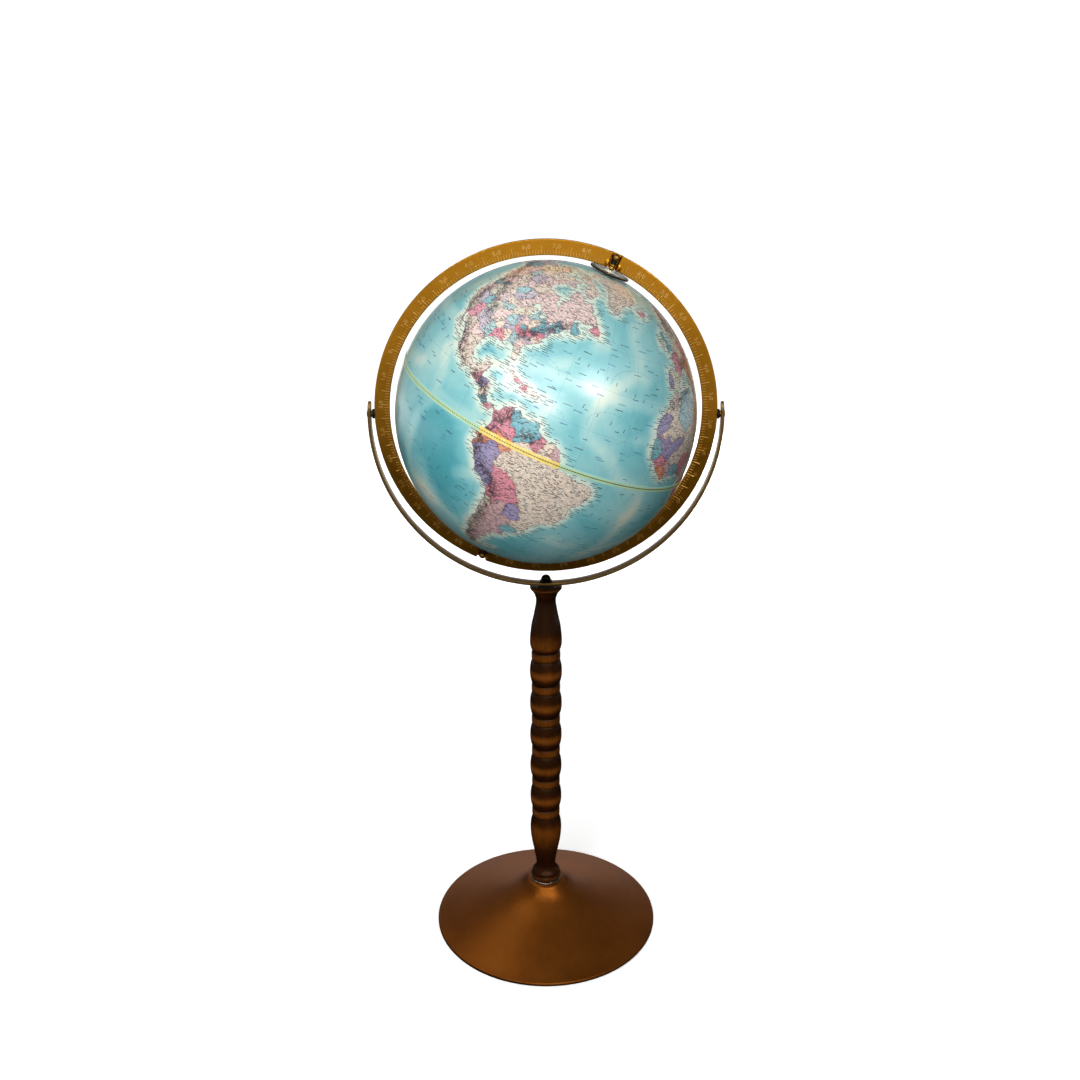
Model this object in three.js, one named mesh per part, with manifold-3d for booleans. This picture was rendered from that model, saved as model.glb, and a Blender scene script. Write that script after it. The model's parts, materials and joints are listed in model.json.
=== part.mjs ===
// Twelve-inch terrestrial globe on a turned floor stand. Millimetres, +Z up.
// The origin is the centre of the base on the floor, and the yoke's pivots lie along X.
import * as THREE from 'three';
import { mergeVertices } from 'three/addons/utils/BufferGeometryUtils.js';
import Module from 'manifold-3d';

const wasm = await Module();
wasm.setup();

// ---- driving dimensions -------------------------------------------------------------
const GAP = 0.3;                      // left between touching pieces
const EDGE = 40;                      // facets round a large turned piece
const COLUMN_EDGE = 20;                // facets round the column
const SMALL_EDGE = 16;                // facets round a pin, washer or nut

const GLOBE_RADIUS = 152.4;           // a twelve-inch globe
const GLOBE_WALL = 2;
const GLOBE_CENTRE_Z = 606;
const AXIS_TILT = 23.5;               // degrees between the polar axis and the ring's vertical
const RING_LEAN = 3;                  // degrees that the ring swings its top towards -Y at rest

const TAPE = { width: 5.5, thickness: 0.4 };
const HOOP = { width: 24, thickness: 1.6 };
const GROMMET = { flangeRadius: 6.5, flange: 0.6, bodyRadius: 4.2, length: 7, holeRadius: 4.5 };

const RING = { inner: 158.5, outer: 174, thickness: 4.5, facets: 72 };
const SEAT = { width: 7.6, depth: 3.75, saddleWidth: 12, saddleBack: 5.4, saddleFront: 1.6 };
const POLE_PIN = { shank: 1.6, head: 3.4, tip: 146 };
const FERRULE = { radius: 3, length: 4.7 };
const DIAL = { radius: 20, thickness: 1, height: 154.8, hubRadius: 5.5, hubLength: 3.6 };
const PIN_BORE = POLE_PIN.shank + GAP;

const YOKE = { outer: 181, thickness: 3, width: 10.5, drop: 5.4, tip: 13, taper: 10, facets: 44 };
const PIVOT = { tip: 1.2, shoulder: 3.6, shank: 2, head: 3.3, bore: 1.5, reach: 7 };
const SPACER = { radius: 5, thickness: 2 };

const ROD_RADIUS = 3;
const ROD_BORE = ROD_RADIUS + GAP;
const NUT = { across: 10, height: 5 };
const FLANGE_WASHER = { radius: 7, thickness: 1.1 };
const ACORN = { radius: 5.2, collar: 3, height: 6.3 };
const SWIVEL_WASHER = { radius: 9, thickness: 1 };

const BASE = { radius: 127, wall: 1.4, top: 52.5, bossRadius: 19 };
const FELT = { radius: 123.4, thickness: 2 };
const PLATE = { radius: 117.5, thickness: 3 };
const WEIGHT = { radius: 86, thickness: 6.6, hubRadius: 13, recessRadius: 9, recess: 6.8 };
const FOOT_WASHER = { radius: 17.6, thickness: 1.8 };

const COLUMN_BORE = 3.8;
const BEAD = { count: 5, pitch: 39, radius: 17.6, end: 15.1, bandHeight: 8, band: 15.7, groove: 14.8 };
const FIRST_BEAD_Z = 162.6;           // centre of the lowest bead

// ---- places worked out from them ----------------------------------------------------
const YOKE_CENTRE_Z = GLOBE_CENTRE_Z - YOKE.drop;
const YOKE_INNER = YOKE.outer - YOKE.thickness;
const YOKE_BOTTOM_Z = YOKE_CENTRE_Z - YOKE.outer;
const YOKE_FLOOR_Z = YOKE_CENTRE_Z - YOKE_INNER;
const PLATE_Z = FELT.thickness + GAP;
const WEIGHT_Z = PLATE_Z + PLATE.thickness + GAP;
const FOOT_WASHER_Z = BASE.top + GAP;
const COLUMN_BOTTOM_Z = FOOT_WASHER_Z + FOOT_WASHER.thickness + GAP;
const SWIVEL_WASHER_Z = YOKE_BOTTOM_Z - GAP - SWIVEL_WASHER.thickness;
const COLUMN_TOP_Z = SWIVEL_WASHER_Z - GAP;
const FLANGE_WASHER_Z = YOKE_FLOOR_Z + GAP + 0.2;
const ACORN_Z = FLANGE_WASHER_Z + FLANGE_WASHER.thickness + GAP;

// ---- materials ----------------------------------------------------------------------
function material(color, roughness, metalness) {
  return new THREE.MeshStandardMaterial({ color, roughness, metalness });
}

const bronzePaint = material(0x5c3a14, 0.42, 0.7);
const goldPaint = material(0x9a6a1c, 0.38, 0.85);
const strapPaint = material(0x5d4420, 0.4, 0.8);
const walnut = material(0x3a1c08, 0.3, 0);
const brass = material(0xc79a3a, 0.25, 1);
const blackOxide = material(0x15110c, 0.4, 0.8);
const blackPlastic = material(0x0d0c0b, 0.45, 0);
const brightSteel = material(0xb9b7b2, 0.25, 1);
const castIron = material(0x2b2b2c, 0.7, 0.6);
const fibreboard = material(0x6a5238, 0.9, 0);
const greenFelt = material(0x2c3a2a, 1, 0);
const oceanPrint = material(0x7abac0, 0.35, 0);
const tapePrint = material(0xb9c46a, 0.4, 0);
const greyboard = material(0x8c8377, 0.9, 0);
const smokyPlastic = material(0x8d8c82, 0.3, 0);
const palePlastic = material(0xd9d8c8, 0.4, 0);

// ---- helpers ------------------------------------------------------------------------
const rad = THREE.MathUtils.degToRad;

// Turns a profile of [radius, height] pairs about Z. A closed profile runs counter-clockwise.
function turned(profile, facets = SMALL_EDGE) {
  const points = profile.map(([r, z]) => new THREE.Vector2(r, z));
  return new THREE.LatheGeometry(points, facets).rotateX(Math.PI / 2);
}

// A washer, sleeve or disc with a bore, standing on height z.
function sleeve(outer, bore, height, z = 0, facets = SMALL_EDGE) {
  const top = z + height;
  return turned([[bore, z], [outer, z], [outer, top], [bore, top], [bore, z]], facets);
}

// A plain rod or disc standing on height z.
function rod(radius, height, z = 0, facets = SMALL_EDGE) {
  return turned([[0, z], [radius, z], [radius, z + height], [0, z + height]], facets);
}

function box(sizeX, sizeY, sizeZ, x = 0, y = 0, z = 0) {
  return new THREE.BoxGeometry(sizeX, sizeY, sizeZ).translate(x, y, z);
}

// A flat outline in the XZ plane made `depth` thick along Y and centred on Y = 0.
function plateXZ(shape, depth, curveSegments) {
  const options = { depth, bevelEnabled: false, curveSegments };
  return new THREE.ExtrudeGeometry(shape, options).translate(0, 0, -depth / 2).rotateX(Math.PI / 2);
}

function solidOf(geometry) {
  const bare = geometry.clone();
  bare.deleteAttribute('normal');
  bare.deleteAttribute('uv');
  const merged = mergeVertices(bare, 1e-4);
  const index = merged.index.array;
  const kept = [];
  for (let i = 0; i < index.length; i += 3) {
    const [a, b, c] = index.slice(i, i + 3);
    if (a !== b && b !== c && c !== a) kept.push(a, b, c);
  }
  const vertProperties = new Float32Array(merged.attributes.position.array);
  const triVerts = new Uint32Array(kept);
  return new wasm.Manifold(new wasm.Mesh({ numProp: 3, vertProperties, triVerts }));
}

function geometryOf(solid) {
  const mesh = solid.getMesh();
  const geometry = new THREE.BufferGeometry();
  geometry.setAttribute('position', new THREE.BufferAttribute(mesh.vertProperties, 3));
  geometry.setIndex(new THREE.BufferAttribute(mesh.triVerts, 1));
  geometry.computeVertexNormals();
  return geometry;
}

// The first geometry with each of the others cut away.
function cut(geometry, tools) {
  const result = tools.reduce((solid, tool) => solid.subtract(solidOf(tool)), solidOf(geometry));
  return geometryOf(result);
}

function mesh(name, geometry, paint) {
  const node = new THREE.Mesh(geometry, paint);
  node.name = name;
  return node;
}

// Points through a few hand-set ones, smooth all the way.
function smooth(pairs, steps) {
  const curve = new THREE.SplineCurve(pairs.map(([r, z]) => new THREE.Vector2(r, z)));
  return curve.getPoints(steps).map((p) => [p.x, p.y]);
}

// The same profile moved sideways by `distance`, to the left of its direction.
function offset(profile, distance) {
  return profile.map(([r, z], i) => {
    const [r0, z0] = profile[Math.max(i - 1, 0)];
    const [r1, z1] = profile[Math.min(i + 1, profile.length - 1)];
    const length = Math.hypot(r1 - r0, z1 - z0);
    return [r - (z1 - z0) / length * distance, z + (r1 - r0) / length * distance];
  });
}

// ---- base ---------------------------------------------------------------------------
function baseShell() {
  const cone = smooth([
    [126.2, 4.1], [100, 13.2], [72, 22.6], [50, 30.4], [36, 37.2],
    [28, 43], [23.4, 48.4], [21, 51.4],
  ], 9);
  const inside = offset(cone, BASE.wall).reverse();
  const insideTop = BASE.top - BASE.wall;
  return turned([
    [inside.at(-1)[0], 0.8], [126.2, 0.8], [BASE.radius, 1.6], [BASE.radius, 3.2], ...cone,
    [BASE.bossRadius, BASE.top], [ROD_BORE, BASE.top], [ROD_BORE, insideTop],
    [BASE.bossRadius - BASE.wall, insideTop], ...inside, [inside.at(-1)[0], 0.8],
  ], EDGE);
}

// Ballast disc whose hub reaches up to the shell's top, with a recess for the nut below.
function baseWeight() {
  const { radius, thickness, hubRadius, recessRadius, recess } = WEIGHT;
  const hubTop = BASE.top - BASE.wall - GAP;
  const discTop = WEIGHT_Z + thickness;
  return turned([
    [ROD_BORE, WEIGHT_Z + recess], [recessRadius, WEIGHT_Z + recess], [recessRadius, WEIGHT_Z],
    [radius, WEIGHT_Z], [radius, discTop], [hubRadius + 3, discTop], [hubRadius, discTop + 4],
    [hubRadius, hubTop], [ROD_BORE, hubTop], [ROD_BORE, WEIGHT_Z + recess],
  ], EDGE);
}

function hexNut(height, bore) {
  const outline = new THREE.CylinderGeometry(NUT.across / Math.sqrt(3), NUT.across / Math.sqrt(3), height, 6);
  const blank = outline.rotateX(Math.PI / 2).translate(0, 0, height / 2);
  return cut(blank, [rod(bore, height + 2, -1)]);
}

function basePieces() {
  const nut = mesh('base_nut', hexNut(NUT.height, ROD_BORE), brightSteel);
  nut.position.z = WEIGHT_Z + 0.2;
  const washerZ = nut.position.z + NUT.height + GAP;
  return [
    mesh('base_felt', rod(FELT.radius, FELT.thickness, 0, EDGE), greenFelt),
    mesh('base_plate', rod(PLATE.radius, PLATE.thickness, PLATE_Z, EDGE), fibreboard),
    mesh('base_weight', baseWeight(), castIron),
    mesh('base_shell', baseShell(), bronzePaint),
    nut,
    mesh('base_nut_washer', sleeve(7.5, ROD_BORE, 1, washerZ), brightSteel),
    mesh('foot_washer', sleeve(FOOT_WASHER.radius, ROD_BORE, FOOT_WASHER.thickness, FOOT_WASHER_Z, 32),
      brightSteel),
  ];
}

// ---- column -------------------------------------------------------------------------
// A raised band between two fine grooves, centred on height z.
function band(z) {
  const half = BEAD.bandHeight / 2;
  return [
    [BEAD.groove, z - half - 0.8], [BEAD.band, z - half + 0.4],
    [BEAD.band, z + half - 0.4], [BEAD.groove, z + half + 0.8],
  ];
}

// The swelling of one bead, centred on height z.
function bead(z) {
  const half = (BEAD.pitch - BEAD.bandHeight) / 2 - 1;
  return [-1, -0.75, -0.25, 0.25, 0.75, 1].map((u) => {
    const swell = (BEAD.radius - BEAD.end) * (1 - Math.abs(u) ** 2.3);
    return [BEAD.end + swell, z + u * half];
  });
}

function columnProfile() {
  const beads = [];
  for (let i = 0; i < BEAD.count; i += 1) {
    const z = FIRST_BEAD_Z + i * BEAD.pitch;
    beads.push(...band(z - BEAD.pitch / 2), ...bead(z));
  }
  const lastBandZ = FIRST_BEAD_Z + (BEAD.count - 0.5) * BEAD.pitch;
  const foot = [
    [16.2, COLUMN_BOTTOM_Z], [17.1, COLUMN_BOTTOM_Z + 1.6], [17.1, COLUMN_BOTTOM_Z + 4.4],
    [15.7, COLUMN_BOTTOM_Z + 6.2], [15.9, COLUMN_BOTTOM_Z + 7.4],
  ];
  const lowerVase = smooth([
    [15.2, 64.4], [12.2, 68.4], [11, 74.5], [13.3, 89], [16.6, 107], [17.7, 121], [15.3, 136.6],
  ], 10);
  const upperVase = smooth([
    [15.2, lastBandZ + 6], [16.9, 348], [17.4, 357], [15.8, 373], [12.8, 387.5],
    [10.7, 401], [11.4, 406.4], [13.6, 411.6], [16.4, 415],
  ], 12);
  return [
    [COLUMN_BORE, COLUMN_BOTTOM_Z], ...foot, ...lowerVase, ...beads, ...band(lastBandZ), ...upperVase,
    [17.1, 416.2], [17.1, COLUMN_TOP_Z - 0.4], [16.6, COLUMN_TOP_Z],
    [COLUMN_BORE, COLUMN_TOP_Z], [COLUMN_BORE, COLUMN_BOTTOM_Z],
  ];
}

function acornNut() {
  const { radius, collar, height } = ACORN;
  const crown = height - collar;
  const dome = [0, 30, 60].map((a) => [radius * Math.cos(rad(a)), collar + crown * Math.sin(rad(a))]);
  return turned([
    [ROD_BORE, 0], [radius, 0], ...dome, [0, height], [0, height - 1.2], [ROD_BORE, height - 1.8], [ROD_BORE, 0],
  ]);
}

function columnPieces() {
  const rodBottom = WEIGHT_Z + 0.2;
  const rodTop = ACORN_Z + ACORN.height - 2.2;
  const acorn = mesh('acorn_nut', acornNut(), blackOxide);
  acorn.position.z = ACORN_Z;
  return [
    mesh('turned_column', turned(columnProfile(), COLUMN_EDGE), walnut),
    mesh('tie_rod', rod(ROD_RADIUS, rodTop - rodBottom, rodBottom, 12), brightSteel),
    mesh('swivel_washer', sleeve(SWIVEL_WASHER.radius, ROD_BORE, SWIVEL_WASHER.thickness, SWIVEL_WASHER_Z),
      blackPlastic),
    mesh('flange_washer', sleeve(FLANGE_WASHER.radius, ROD_BORE, FLANGE_WASHER.thickness, FLANGE_WASHER_Z),
      blackOxide),
    acorn,
  ];
}

// ---- yoke ---------------------------------------------------------------------------
// The strap seen from the front: a band a little longer than half a circle.
function strapBand() {
  const rise = rad(9);
  const shape = new THREE.Shape();
  shape.absarc(0, 0, YOKE.outer, rise, -Math.PI - rise, true);
  shape.absarc(0, 0, YOKE_INNER, -Math.PI - rise, rise, false);
  return plateXZ(shape, YOKE.width, YOKE.facets).translate(0, 0, YOKE_CENTRE_Z);
}

// The strap seen from the side: a straight strip that tapers to a round end above each pivot.
function strapSide() {
  const half = YOKE.width / 2;
  const shoulder = GLOBE_CENTRE_Z + YOKE.tip - YOKE.taper;
  const shape = new THREE.Shape();
  shape.moveTo(-half, YOKE_BOTTOM_Z - 5);
  shape.lineTo(half, YOKE_BOTTOM_Z - 5);
  shape.lineTo(half, shoulder);
  shape.absellipse(0, shoulder, half, YOKE.taper, 0, Math.PI, false);
  return plateXZ(shape, 3 * YOKE.outer, 10).rotateZ(Math.PI / 2);
}

function yokeArm() {
  const strap = solidOf(strapBand()).intersect(solidOf(strapSide()));
  const pivotHole = rod(PIVOT.shank + GAP, 3 * YOKE.outer, -1.5 * YOKE.outer).rotateY(Math.PI / 2);
  const boltHole = rod(ROD_BORE, 20, YOKE_BOTTOM_Z - 10);
  return cut(geometryOf(strap), [pivotHole.translate(0, 0, GLOBE_CENTRE_Z), boltHole]);
}

// A pivot pin along Z, from its thin end in the ring out to its riveted head.
function pivotPin() {
  const shoulderAt = RING.outer + SPACER.thickness + 2 * GAP;
  const headAt = YOKE.outer + GAP;
  return turned([
    [0, RING.outer - PIVOT.reach], [PIVOT.tip, RING.outer - PIVOT.reach], [PIVOT.tip, shoulderAt],
    [PIVOT.shoulder - 0.5, shoulderAt], [PIVOT.shoulder, shoulderAt + 0.8],
    [PIVOT.shank, shoulderAt + 0.8], [PIVOT.shank, headAt], [PIVOT.head, headAt],
    [PIVOT.head - 0.8, headAt + 0.6], [0, headAt + 0.9],
  ], 16);
}

function yokePieces() {
  const pieces = [mesh('yoke_arm', yokeArm(), strapPaint)];
  for (const [side, direction] of [['left', -1], ['right', 1]]) {
    const pin = mesh(`${side}_pivot_pin`, pivotPin(), brass);
    const spacer = mesh(`${side}_pivot_spacer`,
      sleeve(SPACER.radius, PIVOT.bore, SPACER.thickness, RING.outer + GAP, 16), blackPlastic);
    for (const piece of [pin, spacer]) {
      piece.position.z = GLOBE_CENTRE_Z;
      piece.rotation.y = direction * Math.PI / 2;
      pieces.push(piece);
    }
  }
  return pieces;
}

// ---- meridian -----------------------------------------------------------------------
// The open seat pressed into the ring for a pole pin, and the saddle behind it.
function seatTools(turn) {
  const middle = (RING.inner + RING.outer) / 2;
  const width = RING.outer - RING.inner;
  const back = SEAT.saddleBack - SEAT.saddleFront;
  const saddle = box(SEAT.saddleWidth, back, width - 2, 0, SEAT.saddleFront + back / 2, middle);
  const channel = box(SEAT.width, 10, width + 8, 0, SEAT.depth - 5, middle);
  return { saddle: saddle.rotateY(turn), channel: channel.rotateY(turn) };
}

// Centred on the globe's centre, in the XZ plane.
function meridianRing() {
  const { inner, outer, thickness, facets } = RING;
  const half = thickness / 2;
  const profile = [[inner, -half], [outer, -half], [outer, half], [inner, half], [inner, -half]];
  const points = profile.map(([r, y]) => new THREE.Vector2(r, y));
  let ring = solidOf(new THREE.LatheGeometry(points, facets));
  for (const turn of [rad(AXIS_TILT), rad(AXIS_TILT) + Math.PI]) {
    const { saddle, channel } = seatTools(turn);
    ring = ring.add(solidOf(saddle)).subtract(solidOf(channel));
  }
  for (const turn of [Math.PI / 2, -Math.PI / 2]) {
    const bore = rod(PIVOT.bore, PIVOT.reach + 3, outer - PIVOT.reach - 1, 12).rotateY(turn);
    ring = ring.subtract(solidOf(bore));
  }
  return geometryOf(ring);
}

// A pole pin along Z: a round head in the ring's seat and a shank that enters the globe.
function polePin() {
  const { shank, head, tip } = POLE_PIN;
  const headEnd = RING.outer - 0.2;
  const headStart = headEnd - 5.4;
  return turned([
    [0, tip], [shank - 0.5, tip], [shank, tip + 0.8], [shank, headStart], [head - 0.8, headStart],
    [head, headStart + 1], [head, headStart + 3], [head - 1.2, headEnd - 0.6], [0, headEnd],
  ], 16);
}

function ferrule() {
  const { radius, length } = FERRULE;
  const z = RING.inner - 0.2;
  return turned([
    [PIN_BORE, z], [radius, z], [radius, z + 1.2], [radius - 0.5, z + 1.6], [radius - 0.5, z + length - 1.6],
    [radius, z + length - 1.2], [radius, z + length], [PIN_BORE, z + length], [PIN_BORE, z],
  ], 16);
}

function polePieces(side, direction) {
  const pieces = [
    mesh(`${side}_pin`, polePin(), brass),
    mesh(`${side}_ferrule`, ferrule(), brass),
  ];
  for (const piece of pieces) piece.rotation.x = direction > 0 ? 0 : Math.PI;
  return pieces;
}

function southSpacer() {
  const spacer = mesh('south_spacer', sleeve(3.6, PIN_BORE, 4, 153.9), brass);
  spacer.rotation.x = Math.PI;
  return spacer;
}

function dialPieces() {
  const { radius, thickness, height, hubRadius, hubLength } = DIAL;
  const hubZ = height - 1;
  const hubCut = hubRadius + GAP;
  return [
    mesh('hour_dial', sleeve(radius, hubCut, thickness, height, 32), smokyPlastic),
    mesh('dial_hub', turned([
      [PIN_BORE, hubZ], [hubRadius, hubZ], [hubRadius, height + 1.4], [hubRadius - 1.4, hubZ + hubLength],
      [PIN_BORE, hubZ + hubLength], [PIN_BORE, hubZ],
    ]), palePlastic),
  ];
}

// ---- globe --------------------------------------------------------------------------
// Half of the shell, from the seam up to the pole hole.
function hemisphere() {
  const steps = 9;
  const inner = GLOBE_RADIUS - GLOBE_WALL;
  const seam = Math.asin(0.15 / GLOBE_RADIUS);
  const arc = (radius, count) => {
    const pole = Math.acos(GROMMET.holeRadius / radius);
    return Array.from({ length: count + 1 }, (_, i) => {
      const latitude = seam + (pole - seam) * i / count;
      return [radius * Math.cos(latitude), radius * Math.sin(latitude)];
    });
  };
  const outside = arc(GLOBE_RADIUS, steps);
  const inside = arc(inner, steps - 2).reverse();
  return turned([...outside, ...inside, outside[0]], EDGE);
}

function hoop(radius, width, thickness) {
  return sleeve(radius, radius - thickness, width, -width / 2, EDGE);
}

function grommet() {
  const { flangeRadius, flange, bodyRadius, length } = GROMMET;
  const z = GLOBE_RADIUS + GAP - 0.1;
  return turned([
    [PIN_BORE, z - length], [bodyRadius, z - length], [bodyRadius, z], [flangeRadius, z],
    [flangeRadius - 0.5, z + flange], [PIN_BORE, z + flange], [PIN_BORE, z - length],
  ]);
}

function globePieces() {
  const south = [
    mesh('south_hemisphere', hemisphere(), oceanPrint),
    mesh('south_grommet', grommet(), palePlastic),
  ];
  for (const piece of south) piece.rotation.x = Math.PI;
  const wallRadius = GLOBE_RADIUS - GLOBE_WALL;
  const hoopRadius = Math.sqrt(wallRadius ** 2 - (HOOP.width / 2) ** 2) - 0.9;
  const tapeRadius = GLOBE_RADIUS + GAP + TAPE.thickness;
  return [
    mesh('north_hemisphere', hemisphere(), oceanPrint),
    mesh('north_grommet', grommet(), palePlastic),
    ...south,
    mesh('equator_hoop', hoop(hoopRadius, HOOP.width, HOOP.thickness), greyboard),
    mesh('equator_tape', hoop(tapeRadius, TAPE.width, TAPE.thickness), tapePrint),
  ];
}

// ---- assembly -----------------------------------------------------------------------
// Everything on the polar axis, tilted towards +X.
const polar = new THREE.Group();
polar.rotation.y = rad(AXIS_TILT);
polar.add(...polePieces('north', 1), ...polePieces('south', -1), southSpacer());
polar.add(...dialPieces(), ...globePieces());

const head = new THREE.Group();
head.position.z = GLOBE_CENTRE_Z;
head.rotation.x = rad(RING_LEAN);
head.add(mesh('meridian_ring', meridianRing(), goldPaint), polar);

const globeOnStand = new THREE.Group();
globeOnStand.add(...basePieces(), ...columnPieces(), ...yokePieces(), head);

export default globeOnStand;
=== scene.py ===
"""Looks of a twelve-inch globe on a turned floor stand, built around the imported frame."""

import json
import math

import bmesh
import bpy
import numpy as np
from mathutils import Matrix, Vector
from mathutils.kdtree import KDTree


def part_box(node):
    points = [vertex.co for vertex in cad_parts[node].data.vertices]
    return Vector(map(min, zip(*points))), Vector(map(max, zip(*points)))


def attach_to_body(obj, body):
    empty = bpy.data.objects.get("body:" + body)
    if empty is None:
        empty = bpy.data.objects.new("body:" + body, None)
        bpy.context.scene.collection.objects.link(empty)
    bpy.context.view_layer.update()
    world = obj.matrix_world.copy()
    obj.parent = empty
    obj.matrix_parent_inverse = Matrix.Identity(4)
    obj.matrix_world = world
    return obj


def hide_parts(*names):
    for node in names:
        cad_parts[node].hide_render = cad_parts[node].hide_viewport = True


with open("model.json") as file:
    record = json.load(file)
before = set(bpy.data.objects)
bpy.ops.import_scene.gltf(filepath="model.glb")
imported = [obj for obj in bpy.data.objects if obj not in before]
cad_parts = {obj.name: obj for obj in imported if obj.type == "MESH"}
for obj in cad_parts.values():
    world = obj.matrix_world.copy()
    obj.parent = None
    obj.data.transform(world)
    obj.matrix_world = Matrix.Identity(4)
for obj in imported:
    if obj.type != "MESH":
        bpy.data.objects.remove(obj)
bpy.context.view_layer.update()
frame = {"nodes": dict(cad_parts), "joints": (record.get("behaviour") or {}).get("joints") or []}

MM = 0.001

# ---- places, from the frame ----------------------------------------------------------
JOINTS = {joint["name"]: joint for joint in frame["joints"]}
CENTRE = Vector(JOINTS["globe_spin"]["pos_m"])
POLE = Vector(JOINTS["globe_spin"]["axis"]).normalized()
RING_X = Vector(JOINTS["meridian_swing"]["axis"]).normalized()
# The ring's own frame: X along the pivots, Y through its plane away from the scale, Z up.
RING_Y = POLE.cross(RING_X).normalized()
RING_Z = RING_X.cross(RING_Y)
AXIS_TILT = math.atan2(POLE.dot(RING_X), POLE.dot(RING_Z))

GLOBE_RADIUS = 152.4 * MM
FACING_LONGITUDE = -54.8      # the meridian that faces the scale side at rest


# ---- geometry helpers ----------------------------------------------------------------
def add_object(name, mesh):
    obj = bpy.data.objects.new(name, mesh)
    bpy.context.scene.collection.objects.link(obj)
    return obj


def mesh_object(name, points, faces, smooth=True):
    mesh = bpy.data.meshes.new(name)
    mesh.from_pydata([tuple(p) for p in points], [], [tuple(f) for f in faces])
    mesh.validate()
    mesh.update()
    if smooth:
        mesh.shade_smooth()
    return add_object(name, mesh)


def place(obj, origin=(0, 0, 0), x=(1, 0, 0), z=(0, 0, 1)):
    """Moves the mesh so that its own X, Z and origin land on the given ones."""
    z = Vector(z).normalized()
    x = Vector(x).normalized()
    y = z.cross(x).normalized()
    x = y.cross(z)
    turn = Matrix((x, y, z)).transposed().to_4x4()
    obj.data.transform(Matrix.Translation(Vector(origin)) @ turn)
    return obj


def rounded(profile, radius, steps=3):
    """A closed outline with each corner rounded, by a short quadratic arc."""
    result = []
    count = len(profile)
    for i, corner in enumerate(profile):
        here = Vector(corner)
        before = Vector(profile[i - 1])
        after = Vector(profile[(i + 1) % count])
        reach = min(radius, (before - here).length * 0.45, (after - here).length * 0.45)
        start = here + (before - here).normalized() * reach
        end = here + (after - here).normalized() * reach
        for k in range(steps + 1):
            t = k / steps
            result.append(tuple(start * (1 - t) ** 2 + here * (2 * t * (1 - t)) + end * t ** 2))
    return result


def circle(segments):
    return [math.tau * i / segments for i in range(segments)]


def ring_faces(columns, rows):
    """Quads between neighbouring columns of points, closed round both ways."""
    faces = []
    for i in range(columns):
        here, there = i * rows, (i + 1) % columns * rows
        for k in range(rows):
            m = (k + 1) % rows
            faces.append((here + k, there + k, there + m, here + m))
    return faces


def revolve(name, profile, segments=64):
    """A ring swept from a closed counter-clockwise (radius, height) outline in metres."""
    points = [(r * math.cos(a), r * math.sin(a), z) for a in circle(segments) for r, z in profile]
    return mesh_object(name, points, ring_faces(segments, len(profile)))


def capped(name, bottom, top, columns):
    """A closed skin of upright columns of points, from one point below to one above."""
    points, faces = [bottom, top], []
    rows = len(columns[0])
    for i, column in enumerate(columns):
        points += column
        here, there = 2 + i * rows, 2 + (i + 1) % len(columns) * rows
        faces.append((0, there, here))
        faces.append((1, here + rows - 1, there + rows - 1))
        faces += [(here + k, there + k, there + k + 1, here + k + 1) for k in range(rows - 1)]
    return mesh_object(name, points, faces)


def solid_of_revolution(name, profile, segments):
    """A solid from an open (radius, height) outline that starts and ends on the axis."""
    columns = [[(r * math.cos(a), r * math.sin(a), z) for r, z in profile[1:-1]] for a in circle(segments)]
    return capped(name, (0, 0, profile[0][1]), (0, 0, profile[-1][1]), columns)


def catmull(points, steps):
    """A smooth line through given points, `steps` pieces to each span."""
    result = []
    for i in range(len(points) - 1):
        p0 = np.array(points[max(i - 1, 0)])
        p1 = np.array(points[i])
        p2 = np.array(points[i + 1])
        p3 = np.array(points[min(i + 2, len(points) - 1)])
        for k in range(steps):
            t = k / steps
            v0, v1 = (p2 - p0) / 2, (p3 - p1) / 2
            value = ((2 * (p1 - p2) + v0 + v1) * t ** 3 + (3 * (p2 - p1) - 2 * v0 - v1) * t ** 2
                     + v0 * t + p1)
            result.append(tuple(value))
    result.append(tuple(points[-1]))
    return result


def scaled(profile):
    """An outline in millimetres as metres."""
    return [(r * MM, z * MM) for r, z in profile]


def attach(obj, body, slot, material, *nodes):
    """Puts a piece on its body, with its look, in place of the CAD nodes named; its slot is not used."""
    obj.data.materials.clear()
    obj.data.materials.append(material)
    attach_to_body(obj, body)
    if nodes:
        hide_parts(*nodes)
    return obj


# ---- shader helper -------------------------------------------------------------------
def linear(hex_colour):
    """An #rrggbb colour as linear RGBA."""
    channels = [int(hex_colour[i:i + 2], 16) / 255 for i in (1, 3, 5)]
    values = [c / 12.92 if c <= 0.04045 else ((c + 0.055) / 1.055) ** 2.4 for c in channels]
    return (*values, 1.0)


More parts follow.
